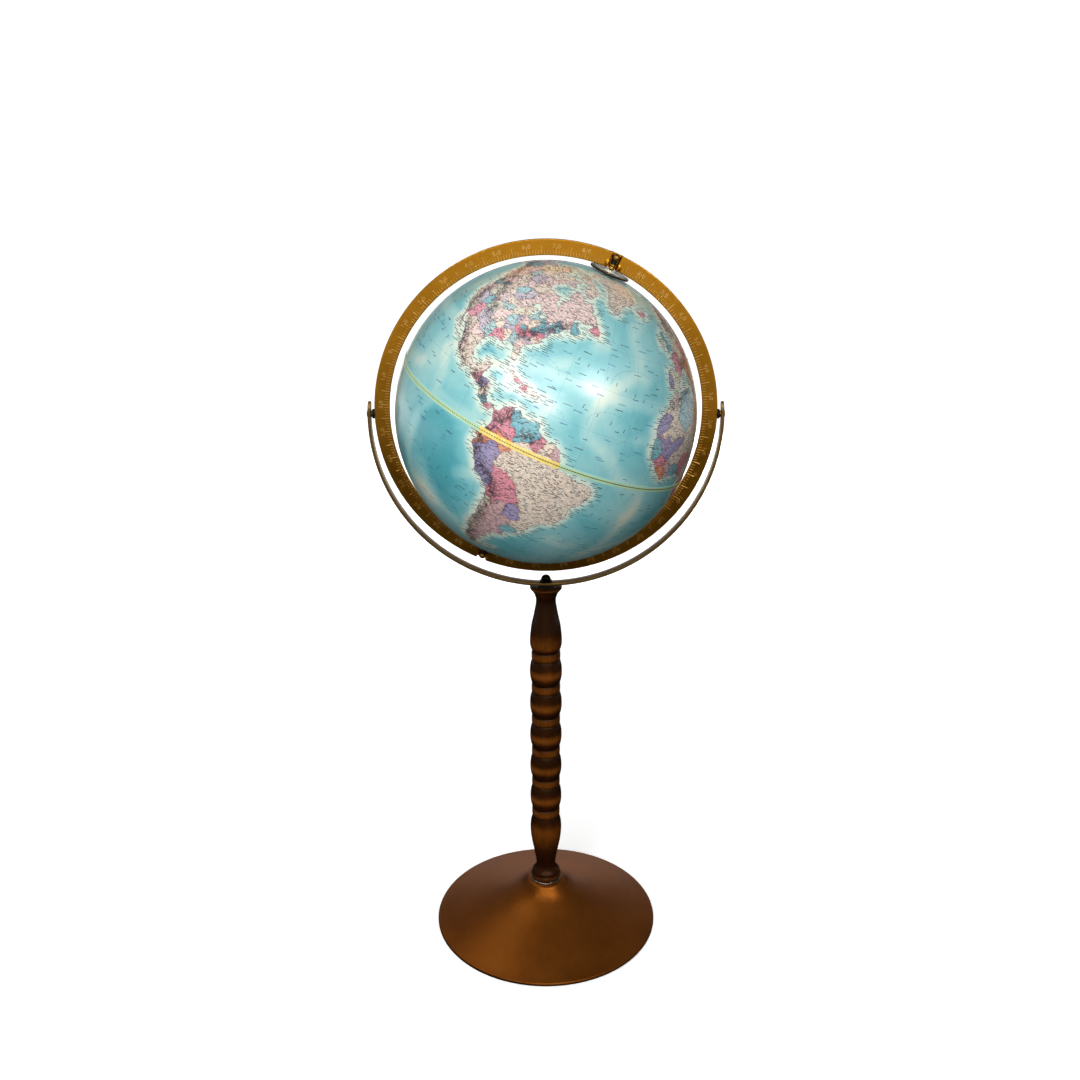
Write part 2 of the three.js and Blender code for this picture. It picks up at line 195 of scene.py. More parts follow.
class Shader:
    """A small builder of node materials."""

    def __init__(self, name, **constants):
        self.material = bpy.data.materials.new(name)
        self.material.use_nodes = True
        self.tree = self.material.node_tree
        self.surface = self.tree.nodes["Principled BSDF"]
        for key, value in constants.items():
            self.surface.inputs[key.replace("_", " ")].default_value = value
        self.object_space = self.node("ShaderNodeTexCoord").outputs["Object"]

    def node(self, kind, **settings):
        made = self.tree.nodes.new(kind)
        for key, value in settings.items():
            setattr(made, key, value)
        return made

    def link(self, source, target):
        if hasattr(source, "is_output"):
            self.tree.links.new(source, target)
        else:
            target.default_value = source

    def set(self, socket, source):
        self.link(source, self.surface.inputs[socket])

    def math(self, operation, *values):
        made = self.node("ShaderNodeMath", operation=operation)
        for socket, value in zip(made.inputs, values):
            self.link(value, socket)
        return made.outputs[0]

    def vector(self, operation, *values):
        made = self.node("ShaderNodeVectorMath", operation=operation)
        for socket, value in zip(made.inputs, values):
            self.link(value, socket)
        return made.outputs[0]

    def mix(self, factor, a, b, blend="MIX"):
        made = self.node("ShaderNodeMix", data_type="RGBA", blend_type=blend)
        self.link(factor, made.inputs[0])
        self.link(a, made.inputs[6])
        self.link(b, made.inputs[7])
        return made.outputs[2]

    def shade(self, tone, factor):
        """A tone darkened by a factor of at most one."""
        return self.mix(1.0, tone, self.ramp(factor, [(0, grey(0)), (1, grey(1))]), "MULTIPLY")

    def scale(self, factors):
        """Object coordinates scaled by a triple."""
        return self.vector("MULTIPLY", self.object_space, factors)

    def noise(self, scale, detail=4, roughness=0.5, where=None, distortion=0.0):
        made = self.node("ShaderNodeTexNoise")
        self.link(self.object_space if where is None else where, made.inputs["Vector"])
        made.inputs["Scale"].default_value = scale
        made.inputs["Detail"].default_value = detail
        made.inputs["Roughness"].default_value = roughness
        made.inputs["Distortion"].default_value = distortion
        return made

    def ramp(self, value, stops):
        """A colour for a value, from (position, colour) stops."""
        made = self.node("ShaderNodeValToRGB")
        elements = made.color_ramp.elements
        while len(elements) < len(stops):
            elements.new(0.5)
        for element, (position, colour) in zip(elements, stops):
            element.position = position
            element.color = colour if len(colour) == 4 else (*colour, 1)
        self.link(value, made.inputs[0])
        return made.outputs[0]

    def between(self, value, low, high, to_low=0.0, to_high=1.0):
        """A value's place between two limits, as a number from to_low to to_high."""
        made = self.node("ShaderNodeMapRange", clamp=True)
        self.link(value, made.inputs["Value"])
        made.inputs["From Min"].default_value = low
        made.inputs["From Max"].default_value = high
        made.inputs["To Min"].default_value = to_low
        made.inputs["To Max"].default_value = to_high
        return made.outputs[0]

    def attribute(self, name, output="Fac"):
        return self.node("ShaderNodeAttribute", attribute_name=name).outputs[output]

    def xyz(self, vector):
        """The three parts of a vector."""
        made = self.node("ShaderNodeSeparateXYZ")
        self.link(vector, made.inputs[0])
        return made.outputs

    def bump(self, height, distance, strength):
        made = self.node("ShaderNodeBump")
        made.inputs["Distance"].default_value = distance
        made.inputs["Strength"].default_value = strength
        self.link(height, made.inputs["Height"])
        self.set("Normal", made.outputs[0])


def grey(value):
    return (value, value, value, 1)


# ---- materials of the stand ----------------------------------------------------------
def metal_paint(name, base, deep, roughness, peel):
    """Metallic lacquer: cloudy tone, fine speckle, orange peel and small dulled patches."""
    shader = Shader(name, Metallic=1.0)
    clouds = shader.noise(14, 5, 0.6).outputs["Fac"]
    speckle = shader.noise(900, 2, 0.6).outputs["Fac"]
    tone = shader.mix(shader.between(clouds, 0.3, 0.7), linear(deep), linear(base))
    shader.set("Base Color", shader.shade(tone, shader.between(speckle, 0.35, 0.75, 0.82, 1.12)))
    shader.set("Roughness", shader.math("MULTIPLY_ADD", clouds, 0.16, roughness - 0.08))
    shader.bump(shader.noise(450, 2).outputs["Fac"], 0.00002, peel)
    return shader.material


def plated(name, base, deep, roughness):
    """Plated or polished metal with fine turning marks and tarnish."""
    shader = Shader(name, Metallic=1.0)
    marks = shader.noise(2600, 2, 0.5).outputs["Fac"]
    tarnish = shader.noise(160, 4, 0.65).outputs["Fac"]
    tone = shader.mix(shader.between(tarnish, 0.38, 0.66), linear(base), linear(deep))
    shader.set("Base Color", tone)
    shader.set("Roughness", shader.math("MULTIPLY_ADD", marks, 0.18, roughness - 0.09))
    shader.bump(marks, 0.00001, 0.5)
    return shader.material


def plastic(name, base, deep, roughness, clear=0.0, gloss=0.5):
    """Moulded plastic: a faint cloud in its tone and dullness, and a fine skin."""
    shader = Shader(name, Transmission_Weight=clear, IOR=1.49, Specular_IOR_Level=gloss)
    clouds = shader.noise(220, 4, 0.6).outputs["Fac"]
    shader.set("Base Color", shader.mix(clouds, linear(deep), linear(base)))
    shader.set("Roughness", shader.math("MULTIPLY_ADD", clouds, 0.2, roughness - 0.1))
    shader.bump(shader.noise(1800, 2).outputs["Fac"], 0.00001, 0.5)
    return shader.material


def fibrous(name, base, deep, scale, lift, sheen):
    """Felt, board or raw iron: a matt, mottled, slightly rough surface."""
    shader = Shader(name, Sheen_Weight=sheen)
    fibres = shader.noise(scale, 6, 0.75).outputs["Fac"]
    shader.set("Base Color", shader.mix(shader.between(fibres, 0.3, 0.7), linear(deep), linear(base)))
    shader.set("Roughness", shader.between(fibres, 0.2, 0.8, 0.75, 1.0))
    shader.bump(fibres, lift, 0.8)
    return shader.material


def walnut():
    """Dark stained hardwood in satin lacquer: amber on the swells, nearly black in the coves; partly
    staining, partly painted shade in the coves and painted reflection on the swells.
    """
    shader = Shader("walnut_lacquer", Specular_IOR_Level=0.15, Specular_Tint=(1.0, 0.5, 0.2, 1.0),
                    Coat_Weight=0.05, Coat_Roughness=0.25)
    grain = shader.noise(95, 6, 0.62, shader.scale((1.0, 1.0, 0.055)), 0.6).outputs["Fac"]
    pores = shader.noise(1500, 3, 0.6, shader.scale((1.0, 1.0, 0.03))).outputs["Fac"]
    clouds = shader.noise(38, 4, 0.6).outputs["Fac"]
    # Painted light in the staining: painted shade in the coves, painted reflection on the swells.
    stain_and_painted_light = shader.attribute("stain_and_painted_light")
    wander = shader.math("MULTIPLY_ADD", clouds, 0.5, shader.math("ADD", stain_and_painted_light, -0.25))
    depth = shader.math("MULTIPLY_ADD", shader.math("SUBTRACT", grain, 0.5), 0.42, wander)
    tone = shader.ramp(depth, [
        (0.0, linear("#1b0b03")), (0.28, linear("#2b1204")), (0.55, linear("#4b2607")),
        (0.8, linear("#68390f")), (1.0, linear("#784513")),
    ])
    shader.set("Base Color", shader.shade(tone, shader.between(pores, 0.52, 0.68, 1.0, 0.62)))
    shader.set("Roughness", shader.between(clouds, 0.3, 0.7, 0.3, 0.42))
    shader.bump(shader.math("MULTIPLY_ADD", pores, 0.5, grain), 0.00004, 0.35)
    return shader.material


def antique_strap():
    """Antique brass on the strap, rubbed brighter along its edges."""
    shader = Shader("antique_strap", Metallic=0.9)
    clouds = shader.noise(60, 5, 0.65).outputs["Fac"]
    drawn = shader.noise(1400, 2, 0.5, shader.scale((0.2, 1, 0.2))).outputs["Fac"]
    rubbed = shader.math("MULTIPLY", shader.attribute("edge"), shader.between(clouds, 0.25, 0.7, 0.5, 1.0))
    face = shader.mix(clouds, linear("#3f2c10"), linear("#6d5330"))
    shader.set("Base Color", shader.mix(rubbed, face, linear("#a88348")))
    shader.set("Roughness", shader.math("MULTIPLY_ADD", drawn, 0.2, 0.28))
    shader.bump(drawn, 0.00001, 0.5)
    return shader.material


GOLD = metal_paint("antique_gold", "#cf8f28", "#b47a1c", 0.3, 0.05)
# Paler gold on the raised scale: partly a painted highlight on the raised marks.
GOLD_SCALE = metal_paint("pale_scale_gold", "#f0c878", "#dca64e", 0.36, 0.3)
BRONZE = metal_paint("bronze_lacquer", "#98581f", "#804615", 0.46, 0.6)
BRASS = plated("polished_brass", "#e0b04a", "#a87426", 0.2)
AGED_BRASS = plated("aged_brass", "#a9803a", "#6e4a1c", 0.3)
DARK_BRONZE = plated("dark_bronze_plate", "#2b2114", "#120d08", 0.32)
BRIGHT_ZINC = plated("bright_zinc", "#c9c6bf", "#9a968e", 0.22)
CAST_IRON = fibrous("raw_cast_iron", "#3a3a3c", "#1d1d1f", 700, 0.00015, 0.3)
FELT = fibrous("green_felt", "#33452c", "#1d2a1a", 2600, 0.0003, 0.3)
BOARD = fibrous("raw_fibreboard", "#7b6246", "#54402b", 900, 0.0001, 0.0)
BLACK_PLASTIC = plastic("black_plastic", "#151413", "#0a0909", 0.5, gloss=0.22)
PALE_PLASTIC = plastic("pale_plastic", "#e6e4d6", "#cfcbb6", 0.38)
SMOKY_PLASTIC = plastic("smoky_plastic", "#b3b29c", "#8b8a77", 0.2, 0.6)
WALNUT = walnut()
STRAP = antique_strap()


# ---- base ----------------------------------------------------------------------------
def base_shell():
    """Spun cone with a rolled rim, a dished flank and a boss under the column."""
    cone = catmull([
        (126.4, 4.4), (118, 7.0), (100, 13.2), (72, 22.6), (50, 30.4), (36, 37.2),
        (28, 43), (23.4, 48.4), (21.2, 51.2), (19, 52.5),
    ], 8)
    rim = [(124.6, 1.1), (125.6, 0.8), (126.5, 1.0), (127.0, 1.8), (127.0, 2.9), (126.75, 3.8)]
    wall = 1.4
    inside = [(r - 0.5, z - wall) for r, z in reversed(cone[2:])]
    profile = rim + cone + [(3.6, 52.5), (3.6, 51.1)] + inside + [(124.6, 2.4)]
    return revolve("spun_base", scaled(profile), 192)


attach(base_shell(), "stand", "bronze_paint", BRONZE, "base_shell")


# ---- column --------------------------------------------------------------------------
FIRST_BEAD, BEAD_PITCH, BEADS = 162.6, 39, 5      # heights and count of the five beads


def column_outline():
    """The turning's outline from foot to collar, as (radius, height, tone of staining and painted light), in
    millimetres.
    """
    foot = [
        (3.8, 55.0, 0), (15.8, 54.95, 0.1), (16.7, 55.6, 0.3), (17.15, 56.9, 0.5), (17.1, 58.8, 0.5),
        (16.4, 60.1, 0.3), (15.6, 60.8, 0.05), (15.6, 61.6, 0.05), (16.0, 62.3, 0.3), (15.8, 63.4, 0.3),
    ]
    lower_vase = catmull([
        (15.2, 64.4, 0.2), (12.2, 68.4, 0.15), (11.0, 74.5, 0.1), (13.3, 89, 0.1), (16.6, 107, 0.55),
        (17.7, 121, 0.7), (17.0, 130, 0.3), (15.3, 136.6, 0.05),
    ], 8)
    outline = foot + lower_vase
    for i in range(BEADS):
        z = FIRST_BEAD + i * BEAD_PITCH
        outline += band_outline(z - BEAD_PITCH / 2) + bead_outline(z)
    outline += band_outline(FIRST_BEAD + (BEADS - 0.5) * BEAD_PITCH)
    outline += catmull([
        (15.2, 344.1, 0.05), (16.9, 349, 0.65), (17.4, 357, 0.6), (15.8, 373, 0.05), (12.8, 387.5, -0.1),
        (10.7, 401, -0.05), (11.4, 406.4, 0.1), (13.6, 411.6, 0.2), (16.4, 415, 0.2),
    ], 8)
    outline += [(17.1, 416.0, 0.45), (17.2, 417.2, 0.5), (16.8, 417.9, 0.3), (3.8, 418.0, 0)]
    return outline


def band_outline(z):
    """A raised band of warm wood between two dark quirks: staining together with painted shade in the quirks
    and painted reflection on the band.
    """
    return [
        (14.6, z - 4.9, 0.0), (14.5, z - 4.6, 0.0), (15.5, z - 4.2, 0.3), (15.75, z - 3.4, 0.6),
        (15.8, z, 0.72), (15.75, z + 3.4, 0.6), (15.5, z + 4.2, 0.3), (14.5, z + 4.6, 0.0),
        (14.6, z + 4.9, 0.0),
    ]


def bead_outline(z):
    """One bead: amber below its widest line, dark towards its ends; staining together with a painted
    reflection below the middle and painted shade towards the ends.
    """
    half, neck, swell = 14.4, 15.1, 2.5
    points = []
    for k in range(21):
        u = -1 + k / 10
        radius = neck + swell * (1 - abs(u) ** 2.3)
        # Amber below the middle is partly painted reflection, the dark ends partly painted shade.
        stain_and_painted_light = 0.1 + 0.72 * math.exp(-((u + 0.1) / 0.4) ** 2)
        points.append((radius, z + u * half, stain_and_painted_light * (1 - abs(u) ** 8)))
    return points


def turned_column():
    outline = column_outline()
    segments = 96
    obj = revolve("turned_spindle", scaled([(r, z) for r, z, _ in outline]), segments)
    # This tone holds staining together with painted shade and painted reflection.
    stain_and_painted_light = obj.data.attributes.new("stain_and_painted_light", "FLOAT", "POINT")
    stain_and_painted_light.data.foreach_set("value", [s for _, _, s in outline] * segments)
    return obj


attach(turned_column(), "stand", "walnut", WALNUT, "turned_column")


# ---- fasteners on the stand ----------------------------------------------------------
def box_height(node):
    low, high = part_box(node)
    return low[2] / MM, high[2] / MM


def washer(name, outer, bore, low, high, soften=0.25, segments=64):
    outline = rounded([(bore, low), (outer, low), (outer, high), (bore, high)], soften)
    return revolve(name, scaled(outline), segments)


def acorn_nut():
    """Hexagonal skirt that blends into a dome."""
    low, high = box_height("acorn_nut")
    skirt, across, dome = 3.0, 5.2, 4.75
    crown = high - low - skirt
    # Each ring is its height, its radius, and how hexagonal it is.
    rings = [(0.0, 5.0, 1.0), (0.2, across, 1.0), (skirt - 0.5, across, 1.0), (skirt, 4.9, 0.5)]
    rings += [(skirt + crown * math.sin(a), dome * math.cos(a), 0.0)
              for a in (0.12, 0.35, 0.6, 0.85, 1.1, 1.35)]
    columns = []
    for a in circle(72):
        flat = math.cos(math.pi / 6) / math.cos((a % (math.pi / 3)) - math.pi / 6)
        column = []
        for height, radius, hexed in rings:
            r = radius * (1 - hexed + hexed * flat) * MM
            column.append((r * math.cos(a), r * math.sin(a), (low + height) * MM))
        columns.append(column)
    return capped("domed_nut", (0, 0, low * MM), (0, 0, high * MM), columns)


def stand_fasteners():
    bore = 3.4
    attach(washer("bright_foot_ring", 17.6, bore, *box_height("foot_washer"), 0.5, 96),
           "stand", "bright_steel", BRIGHT_ZINC, "foot_washer")
    attach(washer("yoke_washer", 7.0, bore, *box_height("flange_washer"), 0.35),
           "stand", "black_oxide", DARK_BRONZE, "flange_washer")
    attach(washer("fibre_washer", 9.0, bore, *box_height("swivel_washer")),
           "stand", "black_plastic", BLACK_PLASTIC, "swivel_washer")
    attach(acorn_nut(), "stand", "black_oxide", DARK_BRONZE, "acorn_nut")


stand_fasteners()


# ---- yoke ----------------------------------------------------------------------------
YOKE_LOW, YOKE_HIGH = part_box("yoke_arm")
YOKE_RADIUS = YOKE_HIGH[0]
YOKE_CENTRE_Z = YOKE_LOW[2] + YOKE_RADIUS
STRAP_HALF = YOKE_HIGH[1]
RING_OUTER = 174.0      # the ring between the pivots, in millimetres


def strap_section(half_width, half_thickness, corner):
    """Rounded rectangle as (thickness, width, edge wear), counter-clockwise."""
    corner = min(corner, half_width * 0.9)
    points = []
    for cx, cy, start in ((1, -1, -90), (1, 1, 0), (-1, 1, 90), (-1, -1, 180)):
        for k in range(4):
            a = math.radians(start + 30 * k)
            x = cx * (half_thickness - corner) + corner * math.cos(a)
            y = cy * (half_width - corner) + corner * math.sin(a)
            points.append((x, y, 1.0 if k in (1, 2) else 0.35))
    return points


def yoke_strap():
    """Half-circle strap whose two ends taper to a round tip."""
    half_thickness, corner, taper = 1.5 * MM, 0.5 * MM, 10 * MM
    middle = YOKE_RADIUS - half_thickness
    tip = math.asin((YOKE_HIGH[2] - YOKE_CENTRE_Z) / middle)
    zone = 1.3 * taper / middle
    ends = zone * (1 - np.cos(np.linspace(0, math.pi / 2, 20)))
    angles = np.concatenate([
        math.pi - tip + ends, np.linspace(math.pi - tip + zone, math.tau + tip - zone, 162)[1:-1],
        math.tau + tip - ends[::-1]])
    points, faces, wear = [], [], []
    for a in angles:
        radial = Vector((math.cos(a), 0, math.sin(a)))
        rise = YOKE_CENTRE_Z + middle * math.sin(a) - (YOKE_HIGH[2] - taper)
        fill = math.sqrt(max(1 - max(rise / taper, 0) ** 2, 0.0009))
        for x, y, worn in strap_section(STRAP_HALF * fill, half_thickness, corner):
            spot = Vector((0, 0, YOKE_CENTRE_Z)) + radial * (middle + x) + Vector((0, y, 0))
            points.append(spot)
            wear.append(worn)
    rows = len(points) // len(angles)
    last = len(angles) - 1
    for i in range(last):
        here, there = i * rows, (i + 1) * rows
        for k in range(rows):
            m = (k + 1) % rows
            faces.append((here + k, here + m, there + m, there + k))
    faces.append(tuple(range(rows))[::-1])
    faces.append(tuple(range(last * rows, (last + 1) * rows)))
    obj = mesh_object("strap_yoke", points, faces)
    edge = obj.data.attributes.new("edge", "FLOAT", "POINT")
    edge.data.foreach_set("value", wear)
    return obj


def pivot_parts(side, direction):
    """A shouldered pin with a domed head, and the black friction spacer beside the ring."""
    ring, spacer = RING_OUTER, 2.0
    shoulder = ring + spacer + 0.6
    head = YOKE_RADIUS / MM + 0.3
    pin = solid_of_revolution(f"{side}_shoulder_pin", scaled([
        (0, ring - 7), (1.0, ring - 7), (1.2, ring - 6.7), (1.2, shoulder - 0.05), (2.9, shoulder),
        (3.3, shoulder + 0.15), (3.6, shoulder + 0.5), (3.6, shoulder + 0.8), (2.0, shoulder + 0.85),
        (2.0, head), (3.2, head + 0.02), (3.3, head + 0.15), (3.0, head + 0.45), (2.0, head + 0.75),
        (1.0, head + 0.88), (0, head + 0.9),
    ]), 48)
    outline = rounded([(1.5, ring + 0.3), (5, ring + 0.3), (5, ring + 2.3), (1.5, ring + 2.3)], 0.5)
    disc = revolve(f"{side}_friction_disc", scaled(outline), 64)
    for obj in (pin, disc):
        place(obj, CENTRE, x=(0, 1, 0), z=(direction, 0, 0))
    attach(pin, "yoke", "brass", BRASS, f"{side}_pivot_pin")
    attach(disc, "yoke", "black_plastic", BLACK_PLASTIC, f"{side}_pivot_spacer")


attach(yoke_strap(), "yoke", "strap_paint", STRAP, "yoke_arm")
pivot_parts("left", -1)
pivot_parts("right", 1)


# ---- meridian ring -------------------------------------------------------------------
RING_INNER, RING_HALF = 158.5, 2.25               # inner radius and half thickness
SCALE_LIFT = 0.35                                 # height of the raised scale
SCALE_INNER, LONG_TICK, SHORT_TICK = 159.1, 8.6, 4.4
NUMBER_RADIUS, NUMBER_SIZE = 167.3, 5.8
SEAT_PRESS, SEAT_BULGE, LUG_LIFT = 6.0, 3.1, 2.2  # depth before, swelling behind, lugs beside


def on_ring(obj):
    """From the ring's own millimetres (X, Z in its plane, Y through it) to its place."""
    turn = Matrix((RING_X, RING_Y, RING_Z)).transposed().to_4x4()
    obj.data.transform(Matrix.Translation(CENTRE) @ turn @ Matrix.Scale(MM, 4))
    return obj


def smoothstep(low, high, value):
    t = np.clip((value - low) / (high - low), 0, 1)
    return t * t * (3 - 2 * t)


def ring_angles():
    """Angles from the ring's top towards +X, closer together at the two pole seats."""
    seats = [math.degrees(AXIS_TILT), math.degrees(AXIS_TILT) + 180]
    coarse = [a for a in np.arange(0, 360, 0.75)
              if min(abs((a - s + 180) % 360 - 180) for s in seats) > 3.9]
    fine = [s + d for s in seats for d in np.arange(-3.9, 3.91, 0.13)]
    return np.radians(sorted(a % 360 for a in coarse + fine))


def seat_offset(angle, radius):
    """Shares of the press, the swelling behind it and the lugs beside it, across a pole seat."""
    pressed, bulge, lug = 0.0, 0.0, 0.0
    middle = 166.0
    for seat in (AXIS_TILT, AXIS_TILT + math.pi):
        across = np.abs((angle - seat + math.pi) % math.tau - math.pi) * middle
        pressed = np.maximum(pressed, 1 - smoothstep(4.1, 4.9, across))
        bulge = np.maximum(bulge, 1 - smoothstep(5.8, 7.0, across))
        hump = np.exp(-((across - 6.3) / 1.4) ** 2 - ((radius - 161.8) / 2.1) ** 2)
        lug = np.maximum(lug, hump)
    return pressed, bulge, lug


def meridian_ring():
    corner = [(math.cos(a), math.sin(a)) for a in np.radians([0, 22.5, 45, 67.5, 90])]
    soft = 0.55
    outer, inner = RING_OUTER - soft, RING_INNER + soft
    back = [(outer + soft * c, RING_HALF - soft + soft * s) for c, s in corner]
    back += [(r, RING_HALF) for r in np.linspace(outer, inner, 9)[1:-1]]
    back += [(inner - soft * s, RING_HALF - soft + soft * c) for c, s in corner]
    front = [(inner - soft * c, -RING_HALF + soft - soft * s) for c, s in corner]
    front += [(r, -RING_HALF) for r in np.linspace(inner, outer, 13)[1:-1]]
    front += [(outer + soft * s, -RING_HALF + soft - soft * c) for c, s in corner]
    section = np.array(back + front)
    angles = ring_angles()
    points = []
    for a in angles:
        pressed, bulge, lug = seat_offset(a, section[:, 0])
        is_front = section[:, 1] < 0
        front_shift = pressed * SEAT_PRESS - lug * LUG_LIFT * (1 - pressed)
        y = section[:, 1] + np.where(is_front, front_shift, bulge * SEAT_BULGE)
        points += [(r * math.sin(a), d, r * math.cos(a)) for r, d in zip(section[:, 0], y)]
    return on_ring(mesh_object("graduated_ring", points, ring_faces(len(angles), len(section))))


def scale_ticks():
    """Raised degree marks along the inner edge: long each five degrees, none in the seats."""
    points, faces = [], []
    for degree in range(360):
        angle = AXIS_TILT + math.radians(degree)
        if degree % 180 <= 3 or degree % 180 >= 177:
            continue
        length, half = (LONG_TICK, 0.42) if degree % 5 == 0 else (SHORT_TICK, 0.36)
        radial = Vector((math.sin(angle), 0, math.cos(angle)))
        side = Vector((math.cos(angle), 0, -math.sin(angle)))
        start = len(points)
        for lift, shrink in ((-RING_HALF + 0.2, 1.0), (-RING_HALF - SCALE_LIFT * 0.6, 0.85),
                             (-RING_HALF - SCALE_LIFT, 0.4)):
            trim = (1 - shrink) * 0.5
            near, far = SCALE_INNER + trim, SCALE_INNER + length - trim
            for r, s in ((near, -1), (near, 1), (far, 1), (far, -1)):
                points.append(radial * r + side * (s * half * shrink) + Vector((0, lift, 0)))
        for ring in (0, 4):
            for k in range(4):
                m = (k + 1) % 4
                faces.append((start + ring + k, start + ring + m, start + ring + 4 + m, start + ring + 4 + k))
        faces.append((start, start + 3, start + 2, start + 1))
        faces.append((start + 8, start + 9, start + 10, start + 11))
    return on_ring(mesh_object("degree_marks", points, faces, smooth=False))


def digit_mesh(digit):
    """A numeral as a low raised solid, one unit high."""
    curve = bpy.data.curves.new("numeral", "FONT")
    curve.body = digit
    curve.align_x = "CENTER"
    curve.align_y = "CENTER"
    curve.size = 1.0
    curve.resolution_u = 3
    curve.extrude = 0.05
    curve.offset = 0.012
    holder = add_object("numeral", curve)
    made = bpy.data.meshes.new_from_object(holder.evaluated_get(bpy.context.evaluated_depsgraph_get()))
    bpy.data.objects.remove(holder)
    return made


def scale_numbers():
    """Latitudes every ten degrees, one numeral on each side of the long mark."""
    shapes = {d: digit_mesh(d) for d in "0123456789"}
    builder = bmesh.new()
    for step in range(36):
        if step % 18 == 0:
            continue
        latitude = abs(90 - step * 10 % 180)
        for k, digit in enumerate(str(latitude)):
            a = AXIS_TILT + math.radians(step * 10 + (k - 0.5) * 1.85)
            radial = Vector((math.sin(a), 0, math.cos(a)))
            side = Vector((math.cos(a), 0, -math.sin(a)))
            turn = Matrix((side, radial, Vector((0, -1, 0)))).transposed().to_4x4()
            spot = radial * NUMBER_RADIUS + Vector((0, -RING_HALF - 0.1, 0))
            size = Matrix.Diagonal((NUMBER_SIZE, NUMBER_SIZE, 4.6, 1))
            piece = shapes[digit].copy()
            piece.transform(Matrix.Translation(spot) @ turn @ size)
            builder.from_mesh(piece)
            bpy.data.meshes.remove(piece)
    mesh = bpy.data.meshes.new("degree_numbers")
    builder.to_mesh(mesh)
    builder.free()
    for shape in shapes.values():
        bpy.data.meshes.remove(shape)
    return on_ring(add_object("degree_numbers", mesh))


def pole_fittings():
    """Round-headed pins, dark sleeves and waisted ferrules at both poles, and the lower spacer; the dark
    sleeves are partly painted shade in the pressed seats.
    """
    for side, sign in (("north", 1), ("south", -1)):
        end = RING_OUTER - 0.2
        head = [(3.9 * math.sin(a), end - 3.8 + 3.7 * math.cos(a))
                for a in np.radians(range(120, 9, -10))]
        pin = solid_of_revolution(f"{side}_pole_pin", scaled(
            [(0, 146), (1.0, 146), (1.6, 146.8), (1.6, end - 6.0), (3.0, end - 6.0)]
            + head + [(0, end - 0.1)]), 48)
        z = RING_INNER - 0.2
        collar = catmull([(3.0, z + 0.1), (3.3, z + 1.1), (2.9, z + 1.8), (2.9, z + 2.8), (3.5, z + 3.4),
                          (3.5, z + 4.6)], 4)
        ferrule = revolve(f"{side}_pin_ferrule", scaled(
            [(1.9, z), (2.8, z)] + collar + [(3.3, z + 4.8), (1.9, z + 4.8)]), 48)
        # Black sleeves between head and ferrule: partly real parts, partly painted shade filling the pressed
        # seat.
        sleeve_and_shade = revolve(f"{side}_pin_sleeve_and_shade", scaled(rounded(
            [(1.75, z + 5.1), (3.2, z + 5.1), (2.9, z + 7.0), (3.2, end - 6.3), (1.75, end - 6.3)], 0.4)), 48)
        for obj in (pin, ferrule, sleeve_and_shade):
            place(obj, CENTRE, x=RING_Y, z=POLE * sign)
        attach(pin, "meridian", "brass", AGED_BRASS, f"{side}_pin")
        attach(ferrule, "meridian", "brass", BRASS, f"{side}_ferrule")
        attach(sleeve_and_shade, "meridian", "black_plastic", BLACK_PLASTIC)
    spacer = revolve("lower_spacer", scaled(rounded(
        [(1.9, 153.9), (3.6, 153.9), (3.6, 157.9), (1.9, 157.9)], 0.4)), 48)
    place(spacer, CENTRE, x=RING_Y, z=-POLE)
    attach(spacer, "meridian", "brass", BRASS, "south_spacer")


attach(meridian_ring(), "meridian", "gold_paint", GOLD, "meridian_ring")
attach(scale_ticks(), "meridian", "gold_paint", GOLD_SCALE)
attach(scale_numbers(), "meridian", "gold_paint", GOLD_SCALE)
pole_fittings()


# ---- hour dial -----------------------------------------------------------------------
def hour_dial():
    """Thin smoky disc with a black rim, raised hour marks and a pale boss; where the rim hangs below the disc
    it is partly a painted shadow.
    """
    low, high, radius = 154.8, 155.8, 20.0
    disc = revolve("smoky_dial", scaled(rounded(
        [(5.8, low), (radius, low), (radius, high), (5.8, high)], 0.3)), 128)
    # The black rim hangs 0.7 mm below the disc: a real black edge, and below the disc partly a painted
    # shadow.
    edge = revolve("dial_rim_and_shadow", scaled(rounded(
        [(radius - 0.9, low - 0.7), (radius, low - 0.7), (radius + 0.2, low + 0.3),
         (radius + 0.1, high + 0.05), (radius - 0.4, high + 0.05), (radius - 0.9, low + 0.2)], 0.15)), 128)
    points, faces = [], []
    for hour, a in enumerate(circle(24)):
        radial, side = Vector((math.cos(a), math.sin(a), 0)), Vector((-math.sin(a), math.cos(a), 0))
        inner = 14.5 if hour % 6 == 0 else 16.5
        start = len(points)
        for z in (high - 0.05, high + 0.12):
            for r, s in ((inner, -1), (18.8, -1), (18.8, 1), (inner, 1)):
                points.append((radial * r + side * (s * 0.22) + Vector((0, 0, z))) * MM)
        faces += [(start + k, start + (k + 1) % 4, start + 4 + (k + 1) % 4, start + 4 + k) for k in range(4)]
        faces += [(start + 3, start + 2, start + 1, start), (start + 4, start + 5, start + 6, start + 7)]
    marks = mesh_object("hour_marks", points, faces, smooth=False)
    hub = revolve("dial_boss", scaled(rounded([
        (1.9, 153.8), (5.5, 153.8), (5.5, 156.2), (4.1, 157.4), (1.9, 157.4)], 0.5)), 64)
    for obj in (disc, edge, marks, hub):
        place(obj, CENTRE, x=RING_Y, z=POLE)
    attach(disc, "dial", "smoky_plastic", SMOKY_PLASTIC, "hour_dial")
    attach(edge, "dial", "smoky_plastic", BLACK_PLASTIC)
    attach(marks, "dial", "smoky_plastic", BLACK_PLASTIC)
    attach(hub, "dial", "pale_plastic", PALE_PLASTIC, "dial_hub")


hour_dial()
